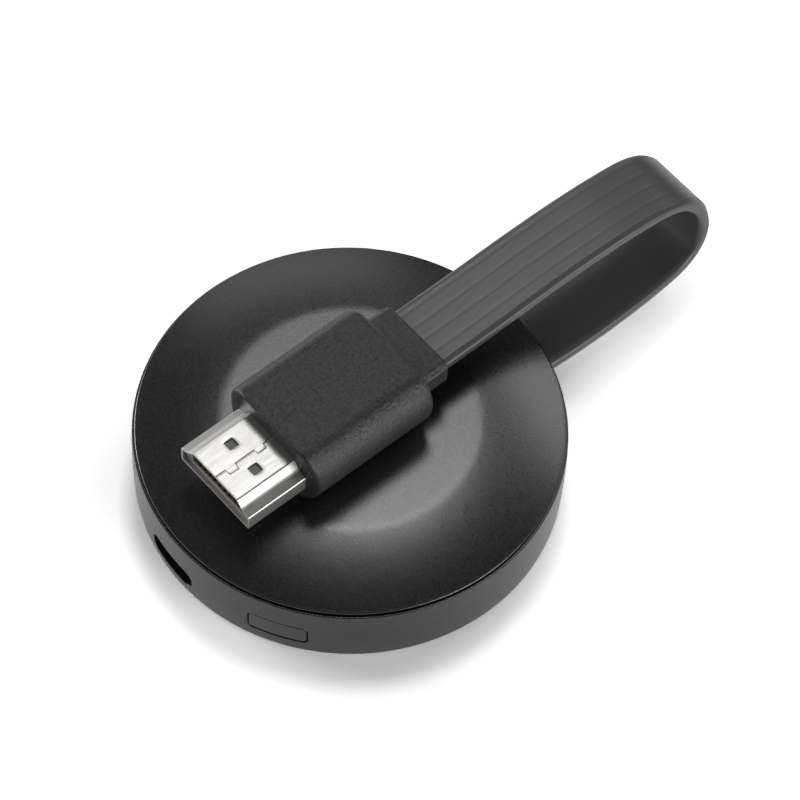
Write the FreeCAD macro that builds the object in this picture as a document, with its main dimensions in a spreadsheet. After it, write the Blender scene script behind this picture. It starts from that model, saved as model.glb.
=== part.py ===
import FreeCAD, Part
import math
import operator
import os
from types import SimpleNamespace

import Sketcher
from FreeCAD import Placement, Rotation, Vector

# A round display dongle: a disc-shaped case with a crowned cover, a board inside, a flat
# cable that leaves the case, folds back over it and ends in a plug that lies on the cover.
# The row frame: the origin is the centre of the case's base, Z is up, the plug points to -Y
# and the cable's loop reaches to +Y. Lengths are in millimetres, angles in degrees.

SIZES = {
    # case
    "case_top_radius": 29.25,
    "case_foot_setback": 0.05,
    "case_foot_round": 0.6,
    "case_top_round": 0.25,
    "case_bow_radius": 90.0,
    "case_height": 10.2,
    "case_wall": 1.45,
    "case_floor": 1.2,
    "wall_cut": 3.6,
    "port_turn": 4.17,
    # cover
    "cover_setback": 0.35,
    "cover_rise": 0.65,
    "cover_edge_round": 0.3,
    "cover_edge_inset": 0.21,
    "cover_edge_drop": 0.287,
    "cover_wall": 1.35,
    "shadow_gap": 0.22,
    "shadow_gap_depth": 0.45,
    "crown_radius": 17.4,
    "crown_rise": 2.35,
    "crown_slope_bow": 60.0,
    "skirt_wall": 1.2,
    "skirt_height": 1.45,
    "fit_gap": 0.1,
    # board and what is on it
    "board_margin": 2.0,
    "board_thickness": 1.0,
    "board_height": 5.05,
    "board_flat": 14.5,
    "boss_radius": 2.2,
    "boss_side": 18.5,
    "boss_rear": 10.5,
    "boss_front": 12.0,
    "screw_radius": 0.8,
    "screw_bite": 2.8,
    "screw_head_radius": 1.7,
    "screw_head_height": 1.1,
    "thread_gap": 0.05,
    "chip_height": 1.0,
    "processor_side": 12.0,
    "processor_front": 2.0,
    "pad_thickness": 0.3,
    "spreader_length": 26.0,
    "spreader_width": 19.0,
    "spreader_thickness": 0.4,
    "memory_length": 9.0,
    "memory_width": 8.0,
    "memory_side": 7.0,
    "memory_rear": 7.0,
    "memory_front": 4.0,
    "storage_length": 13.0,
    "storage_width": 11.5,
    "storage_side": 8.0,
    "storage_rear": 5.5,
    "shield_length": 14.0,
    "shield_width": 11.0,
    "shield_height": 1.6,
    "shield_wall": 0.2,
    "shield_side": 8.8,
    "shield_front": 9.5,
    "radio_side": 5.0,
    "radio_height": 0.85,
    "antenna_length": 8.0,
    "antenna_width": 2.0,
    "antenna_margin": 3.5,
    "crystal_length": 3.2,
    "crystal_width": 2.5,
    "crystal_height": 0.8,
    "crystal_side": 8.0,
    "crystal_front": 15.0,
    "coil_side": 4.0,
    "coil_height": 1.8,
    "coil_near_side": 2.0,
    "coil_far_side": 8.0,
    "coil_front": 17.0,
    "small_part_length": 1.6,
    "small_part_width": 0.8,
    "small_part_pitch": 3.0,
    "small_part_rear": 11.0,
    # power port
    "port_width": 8.9,
    "port_opening": 3.3,
    "port_round": 1.6,
    "port_height": 3.6,
    "receptacle_width": 7.5,
    "receptacle_height": 2.8,
    "receptacle_depth": 5.4,
    "receptacle_wall": 0.25,
    "receptacle_round": 0.6,
    "tongue_width": 3.7,
    "tongue_height": 0.6,
    "tongue_reach": 3.4,
    "pin_pitch": 0.65,
    "pin_width": 0.3,
    "pin_thickness": 0.12,
    # reset button and its switch
    "button_turn": 35.05,
    "button_width": 8.4,
    "button_opening": 3.6,
    "button_height": 4.3,
    "button_round": 0.8,
    "button_gap": 0.12,
    "button_flange": 0.7,
    "button_flange_lip": 0.6,
    "button_travel": 0.35,
    "nub_radius": 0.7,
    "nub_length": 0.8,
    "plunger_height": 3.95,
    "plunger_radius": 0.8,
    "plunger_length": 1.75,
    "plunger_reach": 1.05,
    "plunger_gap": 0.05,
    "switch_width": 4.6,
    "switch_depth": 2.4,
    "bore_room": 0.5,
    # flat cable and where it leaves the case
    "ribbon_width": 10.9,
    "ribbon_thickness": 2.3,
    "ribbon_edge_round": 1.0,
    "ribbon_height": 4.45,
    "ribbon_gap": 0.05,
    "gland_setback": 0.23,
    "gland_wall": 0.9,
    "gland_depth": 2.6,
    "gland_flange_lip": 0.7,
    "gland_flange_depth": 0.8,
    "gland_flange_setback": 0.95,
    "header_depth": 3.9,
    "header_width": 13.0,
    "header_height": 3.2,
    "shelf_gap": 0.65,
    "shelf_depth": 3.6,
    "clamp_length": 19.0,
    "clamp_thickness": 1.2,
    "clamp_screw_side": 7.5,
    "clamp_boss_radius": 1.7,
    "clamp_screw_radius": 0.6,
    "clamp_head_radius": 1.3,
    "clamp_head_height": 0.8,
    # plug
    "plug_side": 0.31,
    "plug_forward": 1.56,
    "plug_rise": 5.95,
    "mould_front": 12.2,
    "mould_length": 20.8,
    "mould_half_height": 5.2,
    "mould_flat_half": 6.2,
    "mould_half_width": 9.2,
    "mould_edge_round": 2.5,
    "mould_front_round": 0.5,
    "mould_rear_round": 1.1,
    "mould_rear_wall": 2.4,
    "relief_length": 4.7,
    "relief_half_width": 6.3,
    "relief_half_height": 2.2,
    "relief_side_step": 0.8,
    "relief_round": 0.35,
    "can_wall": 0.3,
    "can_gap": 0.08,
    "can_front": 10.6,
    "shell_half_width": 6.95,
    "shell_height": 4.45,
    "shell_top": 2.05,
    "shell_flat_half": 4.55,
    "shell_bevel": 1.1,
    "shell_shoulder_drop": 1.75,
    "shell_shoulder_half": 5.65,
    "shell_corner": 0.4,
    "shell_reach": 9.2,
    "shell_tail": 3.2,
    "shell_wall": 0.3,
    "window_side": 1.5,
    "window_spread": 2.46,
    "window_setback": 4.75,
    "core_recess": 0.5,
    "core_tail": 7.2,
    "slot_half_width": 5.1,
    "slot_height": 1.6,
    "slot_depth": 9.0,
    "contact_pitch": 1.0,
    "contact_width": 0.4,
    "contact_thickness": 0.15,
    "contact_tail": 0.6,
    "wire_radius": 0.2,
    "filling_length": 6.2,
    "filling_channel_height": 2.0,
}

# Corners of the free cable's line after its straight start: across, along the plug, up from the
# height at which the cable leaves the case.
LOOP_CORNERS = [
    (2.5, 41.2, -0.1),
    (2.25, 49.6, 0.0),
    (1.6, 56.7, 0.15),
    (1.1, 59.75, 4.2),
    (0.58, 58.85, 9.9),
    (0.16, 54.7, 14.2),
    (-0.19, 46.45, 14.95),
    (-0.47, 36.65, 14.9),
    (-0.42, 26.75, 14.8),
]
CABLE_STRAIGHT_OUT = 4.1
CABLE_STRAIGHT_IN = 7.3
CABLE_OVERLENGTH = 1.0
ARC_SHARE = 0.45
SAME_PLACE = 1e-4
CUTS = (
    "PartDesign::Pocket",
    "PartDesign::Groove",
    "PartDesign::SubtractiveBox",
    "PartDesign::SubtractiveCylinder",
)


class Size:
    """A number with the sheet formula that gives it, so that sums of sizes stay tied to the sheet."""

    def __init__(self, value, formula):
        self.value = value
        self.formula = formula

    def __add__(self, other):
        return joined(self, other, operator.add, "+")

    def __sub__(self, other):
        return joined(self, other, operator.sub, "-")

    def __radd__(self, other):
        return joined(other, self, operator.add, "+")

    def __rsub__(self, other):
        return joined(other, self, operator.sub, "-")

    def __mul__(self, other):
        return joined(self, other, operator.mul, "*")

    def __truediv__(self, other):
        return joined(self, other, operator.truediv, "/")

    def __neg__(self):
        return joined(0, self, operator.sub, "-")


def sized(number):
    """A plain number as a Size; a Size stays as it is."""
    return number if isinstance(number, Size) else Size(float(number), repr(float(number)))


def joined(left, right, work, sign):
    """The Size that two sizes give with one arithmetic sign."""
    left = sized(left)
    right = sized(right)
    return Size(work(left.value, right.value), f"({left.formula} {sign} {right.formula})")


doc = FreeCAD.newDocument("display_dongle")
sheet = doc.addObject("Spreadsheet::Sheet", "sizes")
for row, (alias, number) in enumerate(SIZES.items(), 1):
    sheet.set(f"A{row}", alias)
    sheet.set(f"B{row}", str(number))
    sheet.setAlias(f"B{row}", alias)
doc.recompute()
s = SimpleNamespace(**{alias: Size(number, f"sizes.{alias}") for alias, number in SIZES.items()})

sub_parts = []


def tie(thing, path, size):
    """Binds one property of an object to a size."""
    thing.setExpression(path, sized(size).formula)


def set_place(thing, corner, path="Placement"):
    """Binds an object's position to three sizes."""
    for axis, size in zip("xyz", corner):
        tie(thing, f"{path}.Base.{axis}", size)


def new_body(label):
    """An empty body that becomes one sub-part."""
    body = doc.addObject("PartDesign::Body", label)
    body.Label = label
    body.AllowCompound = True
    sub_parts.append(body)
    return body


def turned(body, size, up):
    """Turns a body about the case's axis: counter-clockwise from above where up is 1."""
    body.Placement = Placement(Vector(), Rotation(Vector(0, 0, up), size.value))
    tie(body, "Placement.Rotation.Angle", size)
    return body


def case_body(label):
    """A body in the case's own frame, where the power port faces -Y and the cable leaves at +Y."""
    return turned(new_body(label), s.port_turn, -1)


def button_body(label):
    """A body in the button's own frame, where the button faces -Y."""
    return turned(new_body(label), s.button_turn - s.port_turn, 1)


def plug_body(label):
    """A body in the plug's own frame: Y along the plug, Z from the plug's middle height."""
    body = new_body(label)
    set_place(body, (-s.plug_side, -s.plug_forward, plug_height))
    return body


def plane_of(body, role):
    """One of a body's own origin planes."""
    return next(plane for plane in body.Origin.OriginFeatures if plane.Role == role)


def new_sketch(body, role, offset=0, turn=None):
    """A sketch on one of the body's origin planes, moved along its normal and turned about its upright."""
    sketch = body.newObject("Sketcher::SketchObject", f"{body.Label}_sketch")
    sketch.AttachmentSupport = (plane_of(body, role), "")
    sketch.MapMode = "FlatFace"
    if turn is not None:
        sketch.AttachmentOffset = Placement(Vector(), Rotation(Vector(0, 1, 0), turn.value))
        tie(sketch, "AttachmentOffset.Rotation.Angle", turn)
    tie(sketch, "AttachmentOffset.Base.z", offset)
    return sketch


def arc_between(first, last, bow):
    """The arc of radius bow from first to last, bulging to the right of the way for a positive bow."""
    half = (last - first) * 0.5
    left = Vector(-half.y, half.x, 0).normalize()
    rise = math.sqrt(bow * bow - half.Length ** 2)
    middle = first + half + left * math.copysign(rise, bow)
    angles = [math.atan2(p.y - middle.y, p.x - middle.x) for p in (first, last)]
    if bow < 0:
        angles.reverse()
    return Part.ArcOfCircle(Part.Circle(middle, Vector(0, 0, 1), abs(bow)), *angles)


def hold(sketch, edge, end, axis, size):
    """Holds one end of an edge at a distance from the sketch's origin."""
    if isinstance(size, (int, float)) and size == 0:
        sketch.addConstraint(Sketcher.Constraint("PointOnObject", edge, end, -2 if axis == "X" else -1))
        return
    size = sized(size)
    number = sketch.addConstraint(Sketcher.Constraint(f"Distance{axis}", -1, 1, edge, end, size.value))
    tie(sketch, f"Constraints[{number}]", size)


def outline(sketch, points):
    """Draws a closed outline, counter-clockwise. Each point is (x, y), or (x, y, bow) where an arc of
    that radius leads to the next point."""
    places = [Vector(sized(p[0]).value, sized(p[1]).value, 0) for p in points]
    bows = [p[2] if len(p) == 3 else None for p in points]
    first_edge = sketch.GeometryCount
    ends = []
    for i, bow in enumerate(bows):
        start = places[i]
        stop = places[(i + 1) % len(places)]
        if bow is None:
            sketch.addGeometry(Part.LineSegment(start, stop))
        else:
            sketch.addGeometry(arc_between(start, stop, sized(bow).value))
        forward = bow is None or sized(bow).value > 0
        ends.append((1, 2) if forward else (2, 1))
    for i, bow in enumerate(bows):
        after = (i + 1) % len(bows)
        edge = first_edge + i
        sketch.addConstraint(
            Sketcher.Constraint("Coincident", edge, ends[i][1], first_edge + after, ends[after][0])
        )
        hold(sketch, edge, ends[i][0], "X", points[i][0])
        hold(sketch, edge, ends[i][0], "Y", points[i][1])
        if bow is not None:
            radius = sized(bow)
            radius = radius if radius.value > 0 else -radius
            number = sketch.addConstraint(Sketcher.Constraint("Radius", edge, radius.value))
            tie(sketch, f"Constraints[{number}]", radius)
    return sketch


def plain_box(left, low, wide, high):
    """The points of a rectangle, from its lower left corner."""
    return [(left, low), (left + wide, low), (left + wide, low + high), (left, low + high)]


def ring(sketch, x, y, radius):
    """Draws a circle. A circle's centre is its point 3."""
    centre = Vector(sized(x).value, sized(y).value, 0)
    edge = sketch.addGeometry(Part.Circle(centre, Vector(0, 0, 1), radius.value))
    hold(sketch, edge, 3, "X", x)
    hold(sketch, edge, 3, "Y", y)
    number = sketch.addConstraint(Sketcher.Constraint("Radius", edge, radius.value))
    tie(sketch, f"Constraints[{number}]", radius)


def rounded_box(left, low, wide, high, radius):
    """The points of a rectangle with rounded corners, from its lower left corner."""
    right = left + wide
    top = low + high
    return [
        (left + radius, low),
        (right - radius, low, radius),
        (right, low + radius),
        (right, top - radius, radius),
        (right - radius, top),
        (left + radius, top, radius),
        (left, top - radius),
        (left, low + radius, radius),
    ]


def mirrored(right_half):
    """A whole outline from its right half, which runs from the bottom to the top at the centre line.
    Each bow belongs to the stretch that follows its point."""
    left_half = []
    for i in range(len(right_half) - 1, -1, -1):
        x, y = right_half[i][0], right_half[i][1]
        bow = right_half[i - 1][2:] if i > 0 else ()
        left_half.append((-sized(x), y) + tuple(bow))
    return list(right_half) + left_half


def pad(sketch, length, backwards=False):
    """Fills a sketch along its normal."""
    feature = sketch.getParentGeoFeatureGroup().newObject("PartDesign::Pad", "pad")
    feature.Profile = sketch
    feature.Reversed = backwards
    tie(feature, "Length", length)
    return feature


def pocket(sketch, length, backwards=False):
    """Cuts a sketch out of the body, against its normal."""
    feature = sketch.getParentGeoFeatureGroup().newObject("PartDesign::Pocket", "pocket")
    feature.Profile = sketch
    feature.Reversed = backwards
    tie(feature, "Length", length)
    return feature


def spin(sketch, kind="PartDesign::Revolution"):
    """Turns a sketch round its upright axis, as a solid or as a groove."""
    feature = sketch.getParentGeoFeatureGroup().newObject(kind, "spin")
    feature.Profile = sketch
    feature.ReferenceAxis = (sketch, ["V_Axis"])
    feature.Angle = 360
    return feature


def block(body, low, size, cut=False):
    """A box in a body from its lowest corner, added or cut away."""
    kind = "PartDesign::SubtractiveBox" if cut else "PartDesign::AdditiveBox"
    box = body.newObject(kind, "block")
    for path, length in zip(("Length", "Width", "Height"), size):
        tie(box, path, length)
    box.AttachmentSupport = (plane_of(body, "XY_Plane"), "")
    box.MapMode = "FlatFace"
    set_place(box, low, "AttachmentOffset")
    return box


def centred_block(body, x, y, low, size, cut=False):
    """A box whose middle stands over x, y and whose underside is at low."""
    corner = (sized(x) - sized(size[0]) / 2, sized(y) - sized(size[1]) / 2, low)
    return block(body, corner, size, cut)


def post(body, x, y, low, radius, height, cut=False):
    """An upright cylinder in a body, added or cut away."""
    kind = "PartDesign::SubtractiveCylinder" if cut else "PartDesign::AdditiveCylinder"
    cylinder = body.newObject(kind, "post")
    tie(cylinder, "Radius", radius)
    tie(cylinder, "Height", height)
    cylinder.AttachmentSupport = (plane_of(body, "XY_Plane"), "")
    cylinder.MapMode = "FlatFace"
    set_place(cylinder, (x, y, low), "AttachmentOffset")
    return cylinder


def rod(body, x, rear, z, radius, length, cut=False):
    """A cylinder along Y in a body: it starts at rear and runs to -Y."""
    kind = "PartDesign::SubtractiveCylinder" if cut else "PartDesign::AdditiveCylinder"
    cylinder = body.newObject(kind, "rod")
    tie(cylinder, "Radius", radius)
    tie(cylinder, "Height", length)
    cylinder.AttachmentSupport = (plane_of(body, "XZ_Plane"), "")
    cylinder.MapMode = "FlatFace"
    set_place(cylinder, (x, z, -sized(rear)), "AttachmentOffset")
    return cylinder


def round_edges(body, radius, chosen):
    """Rounds the edges of a body's last feature that the test chosen picks."""
    doc.recompute()
    base = body.Tip
    names = [f"Edge{i}" for i, edge in enumerate(base.Shape.Edges, 1) if chosen(edge)]
    fillet = body.newObject("PartDesign::Fillet", "rounding")
    fillet.Base = (base, names)
    tie(fillet, "Radius", radius)
    return fillet


def at_depth(y):
    """A test for edges that lie in one plane square to Y."""
    return lambda edge: all(abs(vertex.Y - y.value) < SAME_PLACE for vertex in edge.Vertexes)


def along_plug(edge):
    """A test for straight edges that run along Y."""
    first, last = edge.Vertexes[0], edge.Vertexes[-1]
    return abs(first.X - last.X) < SAME_PLACE and abs(first.Z - last.Z) < SAME_PLACE


# Levels and faces that more than one piece shares.
case_foot_radius = s.case_top_radius - s.case_foot_setback
case_inner_radius = s.case_top_radius - s.case_wall
cover_radius = s.case_top_radius - s.cover_setback
cover_height = s.case_height + s.cover_rise
crown_height = cover_height + s.crown_rise
plug_height = crown_height + s.plug_rise
board_radius = case_inner_radius - s.board_margin
antenna_side = board_radius - s.antenna_margin
gland_reach = s.case_top_radius - s.gland_setback
gland_flange_rear = case_inner_radius - s.gland_flange_setback
board_top = s.board_height + s.board_thickness
skirt_radius = case_inner_radius - s.fit_gap
cover_rim_underside = s.case_height + s.shadow_gap
seat_radius = cover_radius - s.shadow_gap_depth
boss_places = [
    (side, rear)
    for side in (s.boss_side, -s.boss_side)
    for rear in (s.boss_rear, -s.boss_front)
]
ribbon_underside = s.ribbon_height - s.ribbon_thickness / 2
ribbon_top = s.ribbon_height + s.ribbon_thickness / 2
gland_half_width = s.ribbon_width / 2 + s.gland_wall
gland_low = ribbon_underside - s.gland_wall
gland_high = s.ribbon_thickness + s.gland_wall * 2
header_front = s.board_flat
header_rear = header_front + s.header_depth
receptacle_front = -(case_inner_radius - s.fit_gap * 2)
receptacle_low = s.port_height - s.receptacle_height / 2
clamp_middle = gland_flange_rear - s.gland_flange_depth - s.shelf_gap - s.shelf_depth / 2
flange_front = -(case_inner_radius - s.button_flange_lip)
flange_rear = flange_front + s.button_flange
nub_rear = flange_rear + s.nub_length
plunger_front = nub_rear + s.plunger_gap
switch_front = plunger_front + s.plunger_reach
mould_rear = s.mould_length - s.mould_front
relief_rear = mould_rear + s.relief_length
can_rear = mould_rear - s.mould_rear_wall
shell_tip = -(s.mould_front + s.shell_reach)
shell_rear = -(s.mould_front - s.shell_tail)
shell_low = s.shell_top - s.shell_height
core_front = shell_tip + s.core_recess
core_rear = -(s.mould_front - s.core_tail)
slot_middle = s.shell_top - s.shell_height / 2
slot_low = slot_middle - s.slot_height / 2
slot_high = slot_middle + s.slot_height / 2
contact_rear = core_rear + s.contact_tail
filling_front = contact_rear + s.fit_gap
filling_rear = filling_front + s.filling_length


def wall_arc(outward=0):
    """The case wall's outer line from its foot to its top edge, as outline points."""
    return [
        (case_foot_radius + outward, s.case_foot_round, s.case_bow_radius),
        (s.case_top_radius + outward, s.case_height - s.case_top_round),
    ]


def make_bottom_case():
    """The floor and the wall in one moulding, with its openings, bosses, shelf and saddle."""
    body = case_body("bottom_case")
    foot, top = wall_arc()
    profile = [
        (0, 0),
        (case_foot_radius - s.case_foot_round, 0, s.case_foot_round),
        foot,
        top + (s.case_top_round,),
        (s.case_top_radius - s.case_top_round, s.case_height),
        (case_inner_radius, s.case_height),
        (case_inner_radius, s.case_floor),
        (0, s.case_floor),
    ]
    spin(outline(new_sketch(body, "XZ_Plane"), profile))
    outside = s.case_top_radius + s.case_wall
    port = rounded_box(
        -s.port_width / 2, s.port_height - s.port_opening / 2, s.port_width, s.port_opening, s.port_round
    )
    pocket(outline(new_sketch(body, "XZ_Plane", outside), port), s.wall_cut)
    button = rounded_box(
        -s.button_width / 2,
        s.button_height - s.button_opening / 2,
        s.button_width,
        s.button_opening,
        s.button_round,
    )
    pocket(outline(new_sketch(body, "XZ_Plane", 0, s.button_turn), button), outside, True)
    for side, rear in boss_places:
        post(body, side, rear, s.case_floor / 2, s.boss_radius, s.board_height - s.case_floor / 2)
    for side, rear in boss_places:
        post(body, side, rear, s.board_height - s.screw_bite, s.screw_radius + s.thread_gap, s.screw_bite, True)
    shelf = (s.ribbon_width, s.shelf_depth, ribbon_underside - s.case_floor / 2)
    centred_block(body, 0, clamp_middle, s.case_floor / 2, shelf)
    for side in (s.clamp_screw_side, -s.clamp_screw_side):
        post(body, side, clamp_middle, s.case_floor / 2, s.clamp_boss_radius, ribbon_top - s.case_floor / 2)
    for side in (s.clamp_screw_side, -s.clamp_screw_side):
        deep = s.ribbon_thickness
        post(body, side, clamp_middle, ribbon_top - deep, s.clamp_screw_radius + s.thread_gap, deep, True)
    saddle = (s.receptacle_width, s.receptacle_depth, receptacle_low - s.case_floor / 2)
    centred_block(body, 0, receptacle_front + s.receptacle_depth / 2, s.case_floor / 2, saddle)
    opening = (gland_half_width * 2, s.wall_cut, gland_high)
    block(body, (-gland_half_width, case_inner_radius - s.case_wall, gland_low), opening, True)
    return body


def make_top_cover():
    """The crowned lid, flat in its middle and falling away to its edge, with the skirt that centres
    it in the wall."""
    body = case_body("top_cover")
    round_start = cover_height - s.cover_edge_drop
    skirt_low = s.case_height - s.skirt_height
    skirt_inner = skirt_radius - s.skirt_wall
    profile = [
        (0, crown_height - s.cover_wall),
        (s.crown_radius, crown_height - s.cover_wall),
        (skirt_inner, cover_height - s.cover_wall),
        (skirt_inner, skirt_low),
        (skirt_radius, skirt_low),
        (skirt_radius, s.case_height),
        (seat_radius, s.case_height),
        (seat_radius, cover_rim_underside),
        (cover_radius, cover_rim_underside),
        (cover_radius, round_start, s.cover_edge_round),
        (cover_radius - s.cover_edge_inset, cover_height, s.crown_slope_bow),
        (s.crown_radius, crown_height),
        (0, crown_height),
    ]
    spin(outline(new_sketch(body, "XZ_Plane"), profile))
    return body


def make_main_board():
    """The round circuit board, cut straight where the cable comes in."""
    body = case_body("main_board")
    post(body, 0, 0, s.board_height, board_radius, s.board_thickness)
    block(
        body,
        (-board_radius, s.board_flat, s.board_height - s.fit_gap),
        (board_radius * 2, board_radius, s.board_thickness + s.fit_gap * 2),
        True,
    )
    for side, rear in boss_places:
        low = s.board_height - s.fit_gap
        high = s.board_thickness + s.fit_gap * 2
        post(body, side, rear, low, s.screw_radius + s.fit_gap, high, True)
    return body


def make_board_screws():
    """Four screws that hold the board on the bosses."""
    body = case_body("board_screws")
    shank_low = s.board_height - s.screw_bite + s.fit_gap
    for side, rear in boss_places:
        post(body, side, rear, shank_low, s.screw_radius, board_top - shank_low)
        post(body, side, rear, board_top, s.screw_head_radius, s.screw_head_height)
    for side, rear in boss_places:
        recess = (s.screw_head_radius, s.screw_head_height / 3, s.screw_head_height)
        centred_block(body, side, rear, board_top + s.screw_head_height / 2, recess, True)
        across = (recess[1], recess[0], recess[2])
        centred_block(body, side, rear, board_top + s.screw_head_height / 2, across, True)
    return body


def make_processor():
    """The main chip on top of the board."""
    body = case_body("processor_chip")
    side = s.processor_side
    centred_block(body, 0, -s.processor_front, board_top, (side, side, s.chip_height))
    return body


def make_thermal_pad():
    """The soft pad between the main chip and the heat spreader."""
    body = case_body("thermal_pad")
    side = s.processor_side
    low = board_top + s.chip_height
    centred_block(body, 0, -s.processor_front, low, (side, side, s.pad_thickness))
    return body


def make_heat_spreader():
    """A folded metal plate over the main chip, standing on the board with two legs."""
    body = case_body("heat_spreader")
    rise = s.chip_height + s.pad_thickness
    plate = (s.spreader_length, s.spreader_width, s.spreader_thickness)
    centred_block(body, 0, -s.processor_front, board_top + rise, plate)
    leg = (s.spreader_thickness, s.spreader_width / 2, rise + s.spreader_thickness / 2)
    for sign in (1, -1):
        side = (s.spreader_length - s.spreader_thickness) / 2 * sign
        centred_block(body, side, -s.processor_front, board_top, leg)
    return body


def make_underside_chips():
    """The memory and storage chips under the board."""
    memory = case_body("memory_chips")
    low = s.board_height - s.chip_height
    size = (s.memory_width, s.memory_length, s.chip_height)
    for rear in (-s.memory_front, s.memory_rear):
        centred_block(memory, s.memory_side, rear, low, size)
    storage = case_body("storage_chip")
    size = (s.storage_width, s.storage_length, s.chip_height)
    centred_block(storage, -s.storage_side, s.storage_rear, low, size)


def make_radio():
    """The radio chip and the metal can over it, under the board."""
    can = case_body("radio_shield")
    low = s.board_height - s.shield_height
    side = -s.shield_side
    rear = -s.shield_front
    centred_block(can, side, rear, low, (s.shield_length, s.shield_width, s.shield_height))
    hollow = (
        s.shield_length - s.shield_wall * 2,
        s.shield_width - s.shield_wall * 2,
        s.shield_height,
    )
    centred_block(can, side, rear, low + s.shield_wall, hollow, True)
    chip = case_body("radio_chip")
    size = (s.radio_side, s.radio_side, s.radio_height)
    centred_block(chip, side, rear, s.board_height - s.radio_height, size)


def make_top_small_parts():
    """The antenna, crystal, coils and the row of small parts on top of the board."""
    antenna = case_body("antenna")
    size = (s.antenna_width, s.antenna_length, s.chip_height)
    centred_block(antenna, -antenna_side, 0, board_top, size)
    crystal = case_body("clock_crystal")
    size = (s.crystal_length, s.crystal_width, s.crystal_height)
    centred_block(crystal, s.crystal_side, -s.crystal_front, board_top, size)
    coils = case_body("power_coils")
    size = (s.coil_side, s.coil_side, s.coil_height)
    for side in (s.coil_near_side, s.coil_far_side):
        centred_block(coils, -side, -s.coil_front, board_top, size)
    small = case_body("small_parts")
    sketch = new_sketch(small, "XY_Plane", board_top)
    low = s.small_part_rear - s.small_part_width / 2
    for step in range(-4, 5):
        left = s.small_part_pitch * step - s.small_part_length / 2
        outline(sketch, plain_box(left, low, s.small_part_length, s.small_part_width))
    pad(sketch, s.small_part_width)


def make_receptacle():
    """The power port: a folded steel shell, the moulded tongue in it and its five pins."""
    shell = case_body("port_shell")
    outer = rounded_box(
        -s.receptacle_width / 2,
        receptacle_low,
        s.receptacle_width,
        s.receptacle_height,
        s.receptacle_round,
    )
    wall = s.receptacle_wall
    inner = rounded_box(
        -s.receptacle_width / 2 + wall,
        receptacle_low + wall,
        s.receptacle_width - wall * 2,
        s.receptacle_height - wall * 2,
        s.receptacle_round - wall,
    )
    rear = receptacle_front + s.receptacle_depth
    pad(outline(new_sketch(shell, "XZ_Plane", -rear), outer), s.receptacle_depth)
    mouth = -receptacle_front + wall
    pocket(outline(new_sketch(shell, "XZ_Plane", mouth), inner), s.receptacle_depth + wall * 2)
    tongue = case_body("port_tongue")
    back_depth = s.receptacle_depth - s.tongue_reach - wall * 2
    gap = s.fit_gap / 2
    back_size = (
        s.receptacle_width - wall * 2 - s.receptacle_round,
        back_depth,
        s.receptacle_height - wall * 2 - gap * 2,
    )
    centred_block(tongue, 0, rear - back_depth / 2, receptacle_low + wall + gap, back_size)
    tongue_low = s.port_height + s.tongue_height / 4
    tongue_size = (s.tongue_width, s.tongue_reach, s.tongue_height)
    centred_block(tongue, 0, rear - back_depth - s.tongue_reach / 2, tongue_low, tongue_size)
    pins = case_body("port_pins")
    sketch = new_sketch(pins, "XZ_Plane", back_depth - rear)
    for step in range(-2, 3):
        left = s.pin_pitch * step - s.pin_width / 2
        outline(sketch, plain_box(left, tongue_low - s.pin_thickness, s.pin_width, s.pin_thickness))
    pad(sketch, s.tongue_reach)


def make_reset_button():
    """The button's cap, flush with the wall, its flange behind the wall and its nub."""
    body = button_body("reset_button")
    gap = s.button_gap
    face = rounded_box(
        -s.button_width / 2 + gap,
        s.button_height - s.button_opening / 2 + gap,
        s.button_width - gap * 2,
        s.button_opening - gap * 2,
        s.button_round - gap,
    )
    outside = s.case_top_radius + s.case_wall
    pad(outline(new_sketch(body, "XZ_Plane", -flange_rear), face), outside + flange_rear)
    foot, top = wall_arc(-s.fit_gap / 4)
    beyond = s.case_top_radius + s.case_wall * 2
    trim = [
        foot[:2],
        (beyond, 0),
        (beyond, s.case_height),
        top + (-s.case_bow_radius,),
    ]
    spin(outline(new_sketch(body, "XZ_Plane"), trim), "PartDesign::Groove")
    lip = s.button_flange_lip
    flange = (s.button_width + lip * 2, s.button_flange, s.button_opening + lip * 2)
    low = s.button_height - s.button_opening / 2 - lip
    centred_block(body, 0, flange_front + s.button_flange / 2, low, flange)
    rod(body, 0, nub_rear, s.plunger_height, s.nub_radius, s.nub_length + s.button_flange / 2)
    return body


def make_switch():
    """The tactile switch under the board: its body and the plunger that the button pushes."""
    body = button_body("switch_body")
    low = s.plunger_height * 2 - s.board_height
    size = (s.switch_width, s.switch_depth, s.board_height - low)
    centred_block(body, 0, switch_front + s.switch_depth / 2, low, size)
    bore_rear = plunger_front + s.plunger_length + s.bore_room
    bore_length = bore_rear - switch_front + s.fit_gap
    bore_radius = s.plunger_radius + s.plunger_gap
    rod(body, 0, bore_rear, s.plunger_height, bore_radius, bore_length, True)
    plunger = button_body("switch_plunger")
    rear = plunger_front + s.plunger_length
    rod(plunger, 0, rear, s.plunger_height, s.plunger_radius, s.plunger_length)


def ribbon_section(middle_height, gap=0):
    """The flat cable's section as outline points, widened by a gap."""
    return rounded_box(
        -s.ribbon_width / 2 - gap,
        middle_height - s.ribbon_thickness / 2 - gap,
        s.ribbon_width + gap * 2,
        s.ribbon_thickness + gap * 2,
        s.ribbon_edge_round,
    )


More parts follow.
